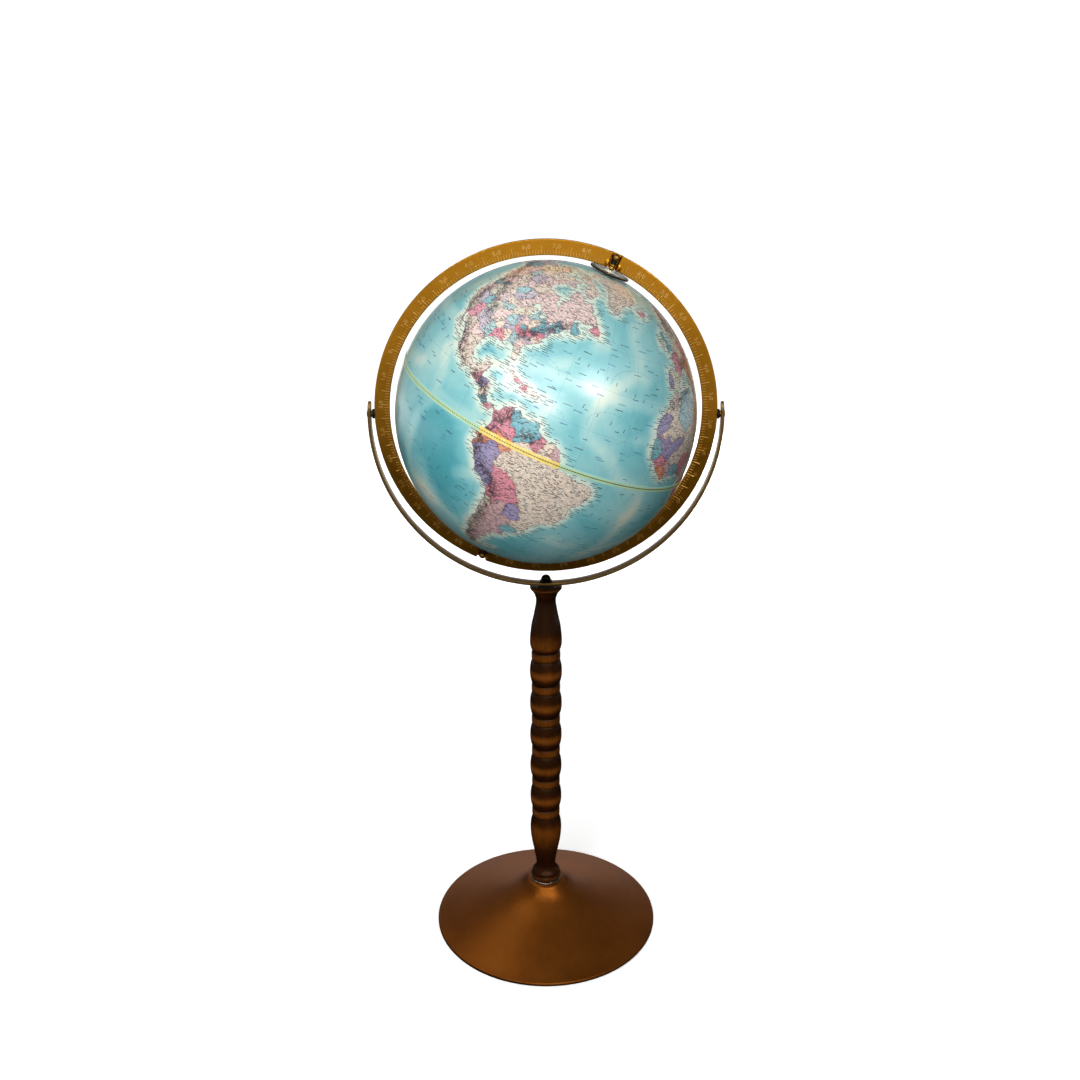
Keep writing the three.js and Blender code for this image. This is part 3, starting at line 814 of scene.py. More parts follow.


# ---- map of the globe ----------------------------------------------------------------
# Longitude and latitude pairs, drawn as simple outlines.
MAINLANDS = """
-168 65.5, -161 66.5, -166 68.3, -162 70, -156.5 71.3, -150 70.5, -141 69.6, -135 69.2, -128 70.3,
-124 69.6, -115 68.2, -109 67.8, -101 67.8, -96 68.2, -94.5 71.8, -91.5 69.5, -88 67.8, -85 69.5,
-81.5 69, -81.3 67.2, -86 66.2, -87.5 64.5, -93 62, -94.7 60, -94.5 58.7, -92.5 57, -88 56.5,
-82.3 55.2, -82.2 52.9, -79.8 51.3, -78.8 52.5, -79.5 54.7, -76.6 56.5, -78.5 58.8, -77.5 60.5,
-78 62.4, -73.7 62.4, -70 61, -69.5 59, -66 58.8, -64.5 60.3, -61.8 57.5, -60 55.2, -57 53.5,
-56 52, -60 50.2, -66.5 50.2, -69.5 48, -65 49.2, -65 47, -64 46.2, -61 45.6, -64.5 44, -66 43.6,
-66.5 45, -70 43.8, -70.8 42.5, -70 41.7, -72.5 41.1, -74 40.5, -74.8 39, -76 37, -75.6 35.3,
-78 33.9, -81 32, -81.4 30.5, -80.1 27, -80.4 25.2, -81.8 26.2, -82.8 28, -84 30, -86.5 30.4,
-89.3 30.2, -89.3 29.1, -91.5 29.5, -94.5 29.5, -97.2 27.8, -97.5 25, -97.8 22.3, -96.2 19.3,
-94.5 18.2, -92 18.6, -90.5 19.8, -90.3 21.1, -87 21.5, -87.5 19.5, -88.3 17.8, -88.6 15.9,
-86 15.8, -83.2 15, -83.6 12.5, -83.3 10.3, -81 8.9, -79.5 9.6, -77.3 8.6, -76.8 8, -75.6 10.6,
-74 11.2, -71.7 12.4, -71.5 10.9, -70 12.1, -68.3 10.7, -64.5 10.2, -61.9 10.7, -60.8 8.6,
-57.5 6.2, -54 5.9, -51.7 4.2, -50.2 1.5, -50 0, -48.3 -0.8, -44.3 -2.6, -41 -2.9, -38.5 -3.7,
-35.3 -5.2, -34.8 -7.5, -37 -11, -39 -13.5, -39.2 -17.5, -40.8 -21, -42 -22.9, -46 -24, -48.5 -26,
-48.8 -28.5, -51.5 -31.8, -53.8 -34.3, -56 -34.9, -58.3 -34.1, -57.3 -36.3, -57.7 -38.1, -62 -39,
-62.3 -40.8, -65 -41, -63.7 -42.6, -65.3 -44.8, -67.4 -46.3, -65.9 -47.8, -68.8 -50.3, -68.4 -52.3,
-68.2 -53.2, -65.2 -54.7, -68.5 -55.4, -72.5 -54, -74.5 -52, -75.4 -49.5, -75 -46.8, -73.2 -44,
-73.7 -41.7, -73.3 -39, -72.5 -36, -71.6 -33, -71.5 -30, -70.5 -26, -70.2 -20, -70.4 -18.4,
-72.5 -17, -76 -14.2, -77.2 -12, -79 -8.2, -81.1 -6, -81.3 -4.5, -80 -3, -80.9 -2.1, -80.1 0,
-78.8 1.5, -77.5 3, -77.4 5.5, -78.2 7.5, -78.3 8.2, -79.5 9, -80.3 7.3, -82.8 8.1, -83.6 8.4,
-85.8 10, -87.6 12.8, -89.5 13.4, -92.2 14.5, -94.5 16.2, -97.5 15.9, -101.5 17.6, -105.6 20.3,
-105.3 22, -108 25, -109.5 26.8, -112.3 29, -113.2 31.2, -114.8 31.7, -114.7 30, -112.3 27.2,
-111 25.5, -109.5 23.2, -112.2 25.5, -115 27.8, -116 30.5, -117.2 32.7, -120.6 34.5, -122.4 37.2,
-124.3 40.4, -124.2 43, -124 46.3, -124.7 48.4, -123.2 49.3, -127.5 51, -130.3 54.5, -134 58,
-139 59.6, -146 60.8, -151.5 59.4, -151 61, -154.2 58.3, -159 55.9, -164.5 54.7, -160.5 56,
-157.5 58.6, -162 58.7, -165.5 61.5, -165 63, -161 64.5, -166.5 64.5;
-5.9 35.8, -1 35.6, 3 36.8, 10 37.3, 11 35, 10.2 34, 15.3 32.3, 20 30.8, 20.5 32.5, 25 31.6,
31 31.5, 32.5 31.2, 32.5 30, 34 26.5, 37.2 21, 39.5 15.5, 43.3 12, 44.5 10.4, 51.2 11.8, 48 4.5,
42 -1, 39.2 -6, 40.6 -12, 40.5 -15, 35 -20, 35.5 -24, 32.8 -27, 30 -31, 25.7 -34, 20 -34.8,
18.3 -33.5, 17 -29, 14.5 -22.5, 11.8 -17, 13.7 -11, 12.2 -6, 9 -0.8, 9.7 3.8, 7 4.4, 4.5 6.3,
1 6, -4 5.2, -7.6 4.4, -11.5 6.9, -13.3 9, -16.7 12.4, -17.5 14.7, -16.3 19, -17 21, -14.5 26,
-9.8 29.8, -9.5 32, -6.5 34.3;
-5.6 36, -8.9 37, -9.4 38.8, -8.8 42.2, -9.2 43.2, -1.8 43.4, -1.2 46, -4.7 48.4, -1.6 48.7,
-1.5 49.7, 1.6 50.8, 4 52, 7 53.5, 8.5 55, 8.2 57, 10.6 57.7, 10.5 55, 11 54, 14.3 54, 18.5 54.8,
21 55.5, 21.5 57.5, 24 57.2, 24 59.3, 30 60, 25 60.3, 22 60.3, 21.3 62.5, 25.3 65, 22 65.8,
17.3 61, 18.5 60, 16.5 57, 14.3 55.5, 12.8 55.6, 11 59, 8 58.1, 5.3 59, 5 62, 10 64, 14 67.5,
20 70, 26 71, 31 70, 41 67.5, 33 66.7, 35 64.5, 40 64.6, 40 66, 44 66, 44 68.5, 54 68.5, 60 69.5,
68 68.5, 67 71, 70 73, 73 71, 73 67.5, 78 72, 87 75, 98 76.3, 104 77.7, 113 76, 113 73.8, 128 73,
131 71, 140 72.7, 150 71.5, 160 69.7, 170 70, 180 69, 190 66.1, 185 64.5, 180 64.8, 179 62.5,
170 60, 163 58, 162 56, 157 51.2, 155.8 57, 161 60.5, 164 62.5, 157 61.5, 148 59.3, 142 59.2,
135 54.7, 141 53, 140 48, 135.5 44, 130.5 42.4, 127.5 39.8, 129.3 37, 129 35.2, 126.4 34.5,
126.5 37.5, 125 39.8, 121.5 39, 121.5 40.8, 117.7 39, 119 37.3, 122.4 37.2, 119.3 35, 121.8 31.5,
121.5 28.3, 118 24.5, 114 22.4, 110.4 21.2, 108 21.6, 105.8 19, 109.2 13, 107 10.4, 104.8 8.6,
105 10.3, 102.5 12.2, 100.5 13.5, 99.3 10, 100.5 7.2, 103.4 3.8, 104 1.4, 101.3 2.8, 100.3 6,
98.4 8.3, 98.5 13, 97.5 16.5, 94.3 16, 94 19, 91.8 22.4, 88 21.7, 86.8 20.5, 82.3 16.8, 80.2 15,
80.2 13, 79.8 10.3, 78 8.1, 76.2 10, 73.5 16, 72.7 20.5, 70.5 20.8, 69 22.3, 67 24.8, 61.5 25.2,
57.3 25.6, 56.5 27, 51.5 27.9, 50 30, 48 30, 48.5 28, 50.2 26.5, 51 24.5, 54 24.2, 56.3 26.2,
57 24, 59.8 22.5, 57.7 19, 55 17, 52 15.6, 45 12.8, 43.4 12.7, 42.7 16.5, 39.1 21.5, 35 28,
34.9 29.5, 32.6 30, 34.3 31.3, 35.9 35.5, 36.1 36.7, 32.5 36.1, 28 36.8, 26.5 39, 29 41, 31.5 41.3,
35 42, 41.5 41.4, 37.5 45, 35.3 45.2, 33.5 44.6, 31 46.5, 28.5 43.5, 28.5 41.4, 26 40.8, 23.5 40.3,
24 38, 22.7 36.6, 21.2 38, 19.4 41.5, 14.5 45, 13.8 45.6, 12.4 44.7, 15.8 42, 18.4 40.2, 16.8 39,
15.8 38, 14.8 40.6, 12 42, 9 44.3, 4.2 43.5, 3.2 42, 0 39.7, -0.6 38, -2 36.8;
114 -22, 113.6 -26, 115.7 -32, 118 -35, 123.5 -33.9, 129 -31.7, 131.5 -31.5, 135.5 -34.8,
137.8 -32.8, 138.3 -35.6, 141 -38.2, 144 -38.4, 146.4 -39, 149.9 -37.4, 151.3 -33.5, 153.5 -28.5,
152.8 -25, 149 -20.5, 146.2 -18.7, 145.3 -15, 142.5 -10.8, 141.6 -13, 140.9 -17.5, 137 -16,
135.7 -14.7, 136.7 -12.2, 132.5 -11.4, 130 -13.5, 128.5 -15, 125.5 -14.3, 122.2 -17.8, 119 -20;
-180 -78, -160 -78.5, -150 -77, -130 -74.5, -100 -73, -75 -73, -67 -67, -57 -63.3, -61 -66, -62 -74,
-45 -78, -28 -76, -10 -71, 10 -70, 35 -69, 55 -66, 80 -68, 110 -66, 140 -66.7, 165 -70.5, 165 -77,
180 -78, 180 -90, -180 -90
"""
ISLANDS_AND_LAKES = """
-44 59.9, -42.5 62.5, -40 65, -34 66.8, -26 68.3, -22 70.5, -20 74, -19 77, -17 80, -22 82,
-32 83.5, -45 82.5, -60 82, -67 80.3, -66 79, -73 78.3, -68 76, -60 75.8, -55 72, -52 69.8,
-53.5 67, -51.5 64, -48.5 61;
-80.5 73.7, -76 72.8, -68 70.5, -61.5 66.8, -64 63.5, -65 62, -69 62.6, -73 64.5, -78 64.8,
-74 66.5, -72.5 68, -78.5 70, -89 70.3, -89.5 73;
-61.5 82.5, -70 83.1, -85 82.3, -92 81.3, -87 79.8, -86 77, -80 76.3, -76 78, -69 80.5;
-117 69.2, -105 68.8, -102 70, -105 73, -113 73, -118 71.5;
-125 71.8, -121 71.2, -117.5 73.8, -124 74.3; -80 75.5, -81 74.5, -92 74.7, -92 76.2;
-106 75, -116 75.2, -115 76.4, -106 76.4; -81 64, -86 63.8, -85.5 65.8, -82 64.7;
-59.2 47.8, -53 46.8, -53.2 48.7, -55.7 51.5, -57.5 50;
-84.8 21.9, -82 23.1, -79.5 22.8, -74.3 20.2, -77.6 19.9, -78.5 21.3, -82 22.4;
-74.3 18.4, -72.8 19.9, -70 19.8, -68.4 18.6, -70.5 18.3, -71.7 17.8;
-78.2 18.3, -76.3 18, -77.3 17.9; -67.2 18.4, -65.7 18.3, -66.4 18;
-24 65.5, -22.5 64, -19 63.4, -14 64.6, -15 66.2, -20 66, -23.5 66.3;
-5.5 50.1, 1.3 51.2, 1.6 52.7, -0.5 54.3, -2 56, -2 57.6, -4 58.6, -6 57, -5 55, -3 54, -4.5 53,
-5 51.8; -10 52, -6.2 52.3, -6 54.5, -8 55.3, -10 54;
49.3 -12, 50.4 -15.5, 47.2 -25, 44 -25, 43.3 -22, 44.4 -16.3;
144.7 -40.8, 148.3 -41, 147 -43.6, 145.5 -42.8;
172.8 -34.5, 175 -36.8, 178.4 -37.8, 177 -39.5, 175.2 -41.6, 173.9 -39.3, 174.7 -38;
172.7 -40.6, 174.3 -41.8, 172.8 -43.6, 170.7 -45.9, 168.5 -46.6, 166.6 -45.9, 170.5 -43;
131 -0.8, 134.2 -0.8, 135 -3.3, 138 -1.6, 144.5 -3.8, 147.8 -6.5, 150.7 -10.5, 146.5 -8.8,
143 -9.2, 138.8 -8.2, 138 -5.5, 133 -4;
109 1.5, 111.3 2.6, 113.9 4.5, 117 7, 119 5, 117.8 1, 116 -3.9, 111.5 -3.3, 110 -1.5;
95.3 5.6, 98.5 4, 103.5 0, 106 -3, 105.7 -5.8, 102.3 -4, 98.7 1.6;
105.3 -6.8, 108.5 -6.7, 112.7 -6.9, 114.4 -8.5, 110 -8.1;
119.5 -5.5, 119 -2.8, 120 0.8, 125 1.5, 120.8 -0.9, 123.2 -0.9, 121.3 -2, 122.5 -4.8, 120.5 -3;
120.5 18.5, 122.2 18.4, 121.6 15.8, 124 12.6, 120.7 13.8, 119.9 16.2;
122 7, 125.5 9.7, 126.5 7.2, 125.5 5.7, 123.8 7.5;
130.9 34.1, 133 35.5, 136.7 37.3, 139.8 39, 141.4 41.4, 141.9 39, 140.7 35.6, 137.3 34.6, 135.8 33.5;
130 33.5, 131.8 33.4, 131 31.2; 140 42, 141.7 45.4, 145.5 43.3, 143.2 42;
142 46, 142 54.2, 143.5 49; 79.8 8, 81.2 8.6, 81.8 7, 80.5 5.9; 11 79.5, 22 80.2, 20 77, 15 76.7;
52 71, 56 73.5, 68 76.9, 58 72; -61.5 -51.3, -58 -51.4, -59 -52.2, -61 -52.2;
47 45.5, 50 46.5, 53 46.5, 51 44, 53 41, 53.8 37, 50 37.4, 49.5 40.5, 47.5 43;
-92 46.8, -88.5 48.6, -84.8 46.8, -88 46.9; -87.6 42, -87.4 45, -85 45.9, -86.3 43.5;
-84 46, -80.5 45.8, -81.8 43.3, -83.8 44; -83.2 41.8, -79 42.9, -80 42.2; -79.5 43.3, -76.3 44,
-76.5 43.5; -98.7 50.5, -97 50.5, -98 53.5, -99.3 53; -117 61.2, -111 62.4, -113 61.2;
-124 65.5, -118 66.8, -120 65; 32 0.3, 34 0, 33.5 -2.5, 32 -2
"""
SEA_RIDGES = """
-22 62, -30 57, -33 52, -29 45, -29 39, -36 34, -44 27, -46 20, -45 13, -33 7.5, -28 1.5, -15 -1,
-13 -8, -14 -18, -13 -28, -16 -38, -10 -48, 0 -54; -109 18, -104 9, -103 0, -108 -10, -113 -25,
-111 -38, -116 -52, -140 -60; -103 2, -91 1, -84 2, -83 7; -84 -20, -76 -16; -111 -36, -90 -40,
-77 -46; -13 -33, 0 -28, 10 -21; -38 -31, -28 -33; -155 20, -170 26, 180 32; -160 5, -150 -10,
-140 -20; 57 14, 67 0, 70 -20, 80 -35, 100 -48, 140 -52; 70 -22, 55 -32, 30 -50; 90 8, 88 -30;
145 15, 148 0; 160 -25, 168 -32, 172 -36; -66 31, -62 33; -131 5, -118 7; -64 14, -61 17, -63 19;
-81 15, -77 17; 165 52, 170 40; -25 38, -30 38; -24 16, -20 18, -17 28; -52 43, -48 45
"""
MOUNTAINS = """
-72 10, -75.5 5, -78.5 -1, -78 -8, -75 -12, -70 -15, -67.5 -20, -69 -27, -70 -33, -71.5 -40,
-73 -48, -71 -54; -150 63, -138 61, -128 56, -120 51, -114 47, -110 43, -106 39, -105.5 35;
-123 49, -121.5 44, -119 37.5, -116.5 33; -108.5 28, -105.8 23.5, -102.5 18.8, -97 16.6;
-91 15.3, -86 13.5, -83.5 9.6; -84 35, -79.5 38.5, -74.5 42.5, -70.5 45;
-65 5, -61 4.5; 6 45, 10 46.5, 14 47; 20 49, 25 47, 23 45.3;
40 43, 47 41.5; 59 52, 60 60, 66 67; 46 35, 54 29; 72 35, 78 32, 86 28, 95 28.5; 70 40, 80 42, 88 44;
88 48, 98 50; 78 36, 90 36, 100 36; -8 31, 0 33.5, 8 35.5; 38 14, 38 8; 36 0, 34 -8; 29 -29, 25 -32;
145 -17, 150 -25, 151 -31, 147 -37; 137 36, 140 39; 7 60, 14 66, 20 69; 170 -43, 168 -45
"""
TINTS = {
    "cream": "#f2e4d2", "rose": "#ea98a8", "blush": "#f4dcd6", "teal": "#7cc6d2", "orange": "#f0a27c",
    "lilac": "#a49ecb", "mauve": "#dab6b8", "lime": "#e8e8d2", "haze": "#d2cad8", "sky": "#b2dbde",
}
# Longitudes and latitudes: each patch of land takes the tint of its nearest mark.
TINT_MARKS = {
    "cream": """-120.5 37.5, -117 34.3, -109.5 47, -100.3 44.4, -97.2 35.6, -90 44.5, -82.8 40.3,
        -89.7 32.7, -81.7 28.5, -79 35.5, -102 24, -108 28, -99 19, -112 27, -97 17, -85 12.8, -79 22,
        -70.2 18.8, -56 4.3, -60 -4, -52 -6, -45 -7, -40 -8, -48 -14, -55 -12, -62 -8, -67 -6, -52 -23.5,
        -46 -19, -54 -29, -42 -15, -64 0.5, -55 0, -54 -20, -57 -16, -51 -27, -70.9 -30, -71.5 -37,
        -70 -24, -73 -44, -73 -50, -40 72, -40 64, -114.5 55, -97 56, -110 64, -95 66, -80 80, -110 72,
        -75 70, -152 65, -92 17, 10 51, 60 40, 43.5 33, -10 20, 9 17, -1.5 12.3, 30 14, 30 8, 35 -6,
        13 6, 30 -19, 46.7 -19, 78 22, 80 15, 76 29, 102 -1, 114 0, 110 -7.3, 120.5 -2, 137 -4,
        133 -20, 144.5 -37, -6 32, -4 21, 0 -85, 90 -80, -90 -80, 180 -80""",
    "rose": """-78.5 37.8, -79.8 36.2, -86.5 35.8, -92 31, -111.8 34.3, -56 48.5, -90.5 15.3, -80.3 8.6,
        -72.7 19, -73 6, -75.5 3, -71 3, -74.5 9.5, -59 5, -64.5 -16.5, -66.5 -19.5, -61.5 -18,
        -67 -13, -19 65, 2.5 47, 19 52, 46 15.5, 29 27, -11 10.5, 8 9.5, 40 8, 15.5 -1,
        27 -14, 24 -30, 28 -27, 66 34, 101 15, 138 36, 143 43.5, 122 -26, 146.5 -42""",
    "blush": """-124 55, -119 51, -105.5 54, -86 51, -91 50, -80 47, -77 45.5, -74 52, -76 57, -68 54,
        -72 58, -63 53, -72 48, -100 60, -91 64, -128 58, -103 28, -104 22, -120.5 44, -107.5 43,
        -98.4 38.5, -94.5 46, -86.3 40, -83.4 32.7, -69.2 45.3, 26 63, 40 56, 60 60, 80 62, 100 62,
        120 62, 140 62, 160 66, 135 50, 50 52""",
    "teal": """-120 47.3, -111.7 39.3, -77.7 41.2, -74.5 43.5, -71.5 43.5, -81.5 39, -85.3 37.5,
        -135 63, -65 46, -84 10, -66 8, -63 6.5, -70 9.3, -66 4, -56 -33, -2 53, 16 62, 34 39, 2 28,
        5 33, -14.5 14.5, -1 7.8, 38 0.5, 21 6.5, 17 -22, 96 21, 142 -6, 128 37, 145 -23""",
    "sky": "-99.8 41.5, -99.3 31.5, -92.5 38.4, -84.8 43.8, -86.8 32.8, -115 60, -103 50.5",
    "orange": "-78.3 -1.3, -76.3 0.6, -73.5 0.6, -71 -0.4, 12 43, 24 42, -9 7, 68 27, 90 24",
    "lilac": """-12.7 23.7, -10 19, -86.6 14.8, -76 -6, -75 -10, -72.5 -14, -77.8 -8.5, -73.5 -4.5,
        -58.2 -23, -57 -25.5, -8 39.5, 54 32, 57 21, -3 17, -8 14, 23 -2, 25 -7, 20 2, 84 28,
        104 46.5, 122 13, 147 -32""",
    "haze": """-92.4 34.8, -80.8 33.9, -117 39.5, -106 34.4, -102 31.5, -100.3 47.5, -89.2 40,
        -75.5 40.5, -123 61, -107 58, -97 50, -140 67""",
    "mauve": """-65 -27, -65 -33, -67 -38, -68.5 -44, -70 -49, -62 -36, -59.5 -30, -64 -24, -53 4,
        -5.5 7.5, 37 -14, 34 -20, 106.5 16, 9 61, 15 67, 72 20""",
    "lime": """-114.3 44.5, -105.6 39, -93.5 42, -120 66, -8 53.2, -4 40, 32 49, 65 48, 75 48, 45 24,
        48 20, 18 27, 19 15, 46 4, 17.5 -12, 24 -22, 69 30, 103 35, 110 28, 90 32, 85 41, 120 47,
        115 33, 135 -30, 173 -41""",
}


def read_lines(text):
    """Lines of (longitude, latitude) points, one line between each pair of semicolons."""
    return [np.array([[float(v) for v in pair.split()] for pair in line.split(",") if pair.strip()])
            for line in text.replace("\n", " ").split(";")]


def unit(lon, lat):
    lon, lat = np.radians(lon), np.radians(lat)
    return np.stack([np.cos(lat) * np.cos(lon), np.cos(lat) * np.sin(lon), np.sin(lat)], -1)


def reach_tree(lines, closed):
    """A search tree over points set close together along the lines."""
    found = []
    spacing = 0.12       # degrees between neighbouring points
    for line in lines:
        ends = np.roll(line, -1, axis=0) if closed else line[1:]
        for start, end in zip(line, ends):
            count = max(int(np.hypot(*(end - start)) / spacing), 1)
            steps = np.linspace(0, 1, count, endpoint=False)[:, None]
            found.append(start + (end - start) * steps)
    found = np.concatenate(found)
    tree = KDTree(len(found))
    for i, spot in enumerate(unit(found[:, 0], found[:, 1])):
        tree.insert(spot, i)
    tree.balance()
    return tree


def distances(tree, spots):
    """Distance in millimetres on the globe from each unit vector to the nearest line."""
    return np.array([tree.find(spot)[2] for spot in spots]) * GLOBE_RADIUS / MM


def on_land(lon, lat):
    land = np.zeros(len(lon), bool)
    for outline in COASTS:
        for shift in ((0, 360) if outline[:, 0].max() > 180 else (0,)):
            x = lon + shift
            for (ax, ay), (bx, by) in zip(outline, np.roll(outline, -1, axis=0)):
                if ay != by:
                    crossing = ax + (lat - ay) * ((bx - ax) / (by - ay))
                    land ^= ((ay > lat) != (by > lat)) & (x < crossing)
    return land


def coast_distance(spots):
    """Millimetres to the nearest coast: above zero on land, below at sea."""
    lon = np.degrees(np.arctan2(spots[:, 1], spots[:, 0]))
    lat = np.degrees(np.arcsin(np.clip(spots[:, 2], -1, 1)))
    reach = distances(COAST_TREE, spots)
    return np.where(on_land(lon, lat), reach, -reach)


def give(obj, name, values):
    """Stores a number or a vector for each point of the mesh."""
    kind = "FLOAT" if values.ndim == 1 else "FLOAT_VECTOR"
    layer = obj.data.attributes.new(name, kind, "POINT")
    layer.data.foreach_set("value" if values.ndim == 1 else "vector", values.astype(np.float32).ravel())


# Soft patches of deeper or shallower sea: longitude, latitude, size in degrees, weight.
SEA_PATCHES = (
    (-97, -9, 12, 0.5), (-90, -24, 10, 0.4), (-86, -36, 8, 0.3), (-60, 27, 8, 0.12), (-52, 13, 8, 0.1),
    (-24, 27, 8, 0.15), (-22, 10, 7, 0.12), (-28, -20, 9, 0.15), (-48, -43, 9, 0.3), (1, -15, 9, 0.25),
    (-140, 32, 16, 0.3), (-125, -32, 12, 0.3), (160, 20, 14, 0.3), (78, -5, 10, 0.3),
    (100, -25, 12, 0.3), (-92, 25, 4, 0.35), (-100, -38, 9, -0.5), (-112, 12, 7, -0.25),
    (-14, -13, 8, -0.35), (-46, 29, 9, -0.3), (-60, 18, 5, -0.3), (-22, 18, 6, 0.2),
    (-35, 12, 8, 0.1), (-74, 14, 4, 0.25), (-50, 35, 6, 0.15), (-36, 48, 5, 0.15),
)


def sea_depth(spots, coast):
    """Zero on the shelves and ridges to one in the deep basins."""
    ridge = distances(RIDGE_TREE, spots)
    depth = smoothstep(1.0, 10, -coast) * (0.34 + 0.26 * smoothstep(1.0, 11, ridge))
    for lon, lat, size, weight in SEA_PATCHES:
        away = np.degrees(np.arccos(np.clip(spots @ unit(lon, lat), -1, 1)))
        depth += weight * np.exp(-(away / size) ** 2) * smoothstep(3, 12, -coast)
    return np.clip(depth, 0, 1)


def paint(obj, spots):
    """Gives a globe piece everything that its map material reads."""
    coast = coast_distance(spots)
    give(obj, "coast", coast)
    give(obj, "depth", sea_depth(spots, coast))
    give(obj, "peaks", distances(PEAK_TREE, spots))
    give(obj, "globe", spots)
    for name, text in TINT_MARKS.items():
        marks = read_lines(text)[0]
        nearest = (spots @ unit(marks[:, 0], marks[:, 1]).T).max(axis=1)
        give(obj, name, np.degrees(np.arccos(np.clip(nearest, -1, 1))))


COASTS = read_lines(MAINLANDS) + read_lines(ISLANDS_AND_LAKES)
COAST_TREE = reach_tree(COASTS, True)
RIDGE_TREE = reach_tree(read_lines(SEA_RIDGES), False)
PEAK_TREE = reach_tree(read_lines(MOUNTAINS), False)


def ripples(shader, count, scale):
    """Several unrelated noises, three from each texture."""
    found = []
    while len(found) < count:
        where = shader.vector("ADD", shader.object_space, (len(found) * 7.0, 0, 0))
        split = shader.node("ShaderNodeSeparateColor")
        shader.link(shader.noise(scale, 5, 0.6, where).outputs["Color"], split.inputs[0])
        found += list(split.outputs)
    return found[:count]


def tinted_land(shader, wobble):
    """The tint of the nearest mark, and how far its lead over the next nearest is, in degrees."""
    best = tone = None
    second = 99.0
    for (name, colour), ripple in zip(TINTS.items(), ripples(shader, len(TINTS), 110)):
        reach = shader.math("MULTIPLY_ADD", ripple, wobble, shader.attribute(name))
        if best is None:
            best, tone = reach, linear(colour)
            continue
        closer = shader.math("LESS_THAN", reach, best)
        second = shader.math("MINIMUM", second, shader.math("MAXIMUM", reach, best))
        best = shader.math("MINIMUM", reach, best)
        tone = shader.mix(closer, tone, linear(colour))
    return tone, shader.math("SUBTRACT", second, best)


def graticule(shader, spacing, half_width):
    """Thin lines of latitude and longitude, from the globe's own unit vectors."""
    x, y, z = shader.xyz(shader.attribute("globe", "Vector"))
    lat = shader.math("MULTIPLY", shader.math("ARCSINE", z), 180 / math.pi / spacing)
    lon = shader.math("MULTIPLY", shader.math("ARCTAN2", y, x), 180 / math.pi / spacing)
    shrink = shader.math("SQRT", shader.math("SUBTRACT", 1.0, shader.math("MULTIPLY", z, z)))
    cell = spacing * math.pi / 180 * GLOBE_RADIUS / MM
    masks = []
    for angle, width in ((lat, cell), (lon, shader.math("MULTIPLY", shrink, cell))):
        offset = shader.math("SUBTRACT", angle, shader.math("ROUND", angle))
        away = shader.math("MULTIPLY", shader.math("ABSOLUTE", offset), width)
        masks.append(shader.between(away, half_width * 0.6, half_width * 1.4, 1.0, 0.0))
    return shader.math("MAXIMUM", *masks)


def contour_ink(shader, scale, width, detail=4, where=None):
    """Thin wandering lines, like the rivers, roads and hachures of a printed map."""
    swirl = shader.noise(scale, detail, 0.6, where, distortion=0.5).outputs["Fac"]
    away = shader.math("ABSOLUTE", shader.math("SUBTRACT", swirl, 0.5))
    return shader.between(away, width * 0.5, width, 1.0, 0.0)


def sea_tone(shader):
    """Pale shelves and ridges to deeper blue-green basins, with soft drifts."""
    swell = shader.noise(22, 5, 0.55, distortion=0.6).outputs["Fac"]
    streaks = shader.noise(70, 4, 0.6, distortion=1.2).outputs["Fac"]
    depth = shader.math("ADD", shader.attribute("depth"), shader.math("MULTIPLY_ADD", swell, 0.62, -0.31))
    depth = shader.math("ADD", depth, shader.math("MULTIPLY_ADD", streaks, 0.22, -0.11))
    return shader.ramp(depth, [
        (0.0, linear("#dce6d6")), (0.2, linear("#c6e0d5")), (0.4, linear("#a6d4d1")),
        (0.6, linear("#8dc9cc")), (0.8, linear("#6dbac1")), (1.0, linear("#4ea4af")),
    ])


def land_tone(shader, relief):
    """Tinted land with deeper colour along its borders, brown relief and a web of fine lines."""
    land, gap = tinted_land(shader, 7.0)
    deeper = shader.mix(1.0, land, land, "MULTIPLY")
    land = shader.mix(shader.between(gap, 0.2, 1.5, 0.5, 0.0), land, deeper)
    paper = shader.noise(60, 4, 0.6).outputs["Fac"]
    land = shader.mix(shader.between(paper, 0.35, 0.75, 0.0, 0.22), land, linear("#cfae8c"))
    land = shader.mix(shader.math("MULTIPLY", relief, 0.85), land, linear("#271b26"))
    rows = shader.vector("MULTIPLY", shader.attribute("globe", "Vector"),
                         (GLOBE_RADIUS, GLOBE_RADIUS, GLOBE_RADIUS * 3))
    web = shader.math("MAXIMUM", contour_ink(shader, 150, 0.013, 2), contour_ink(shader, 230, 0.03, 2, rows))
    land = shader.mix(shader.math("MULTIPLY", web, 0.55), land, linear("#40323c"))
    border = shader.between(gap, 0.08, 0.26, 1.0, 0.0)
    return shader.mix(shader.math("MULTIPLY", border, 0.55), land, linear("#6b2f4a"))


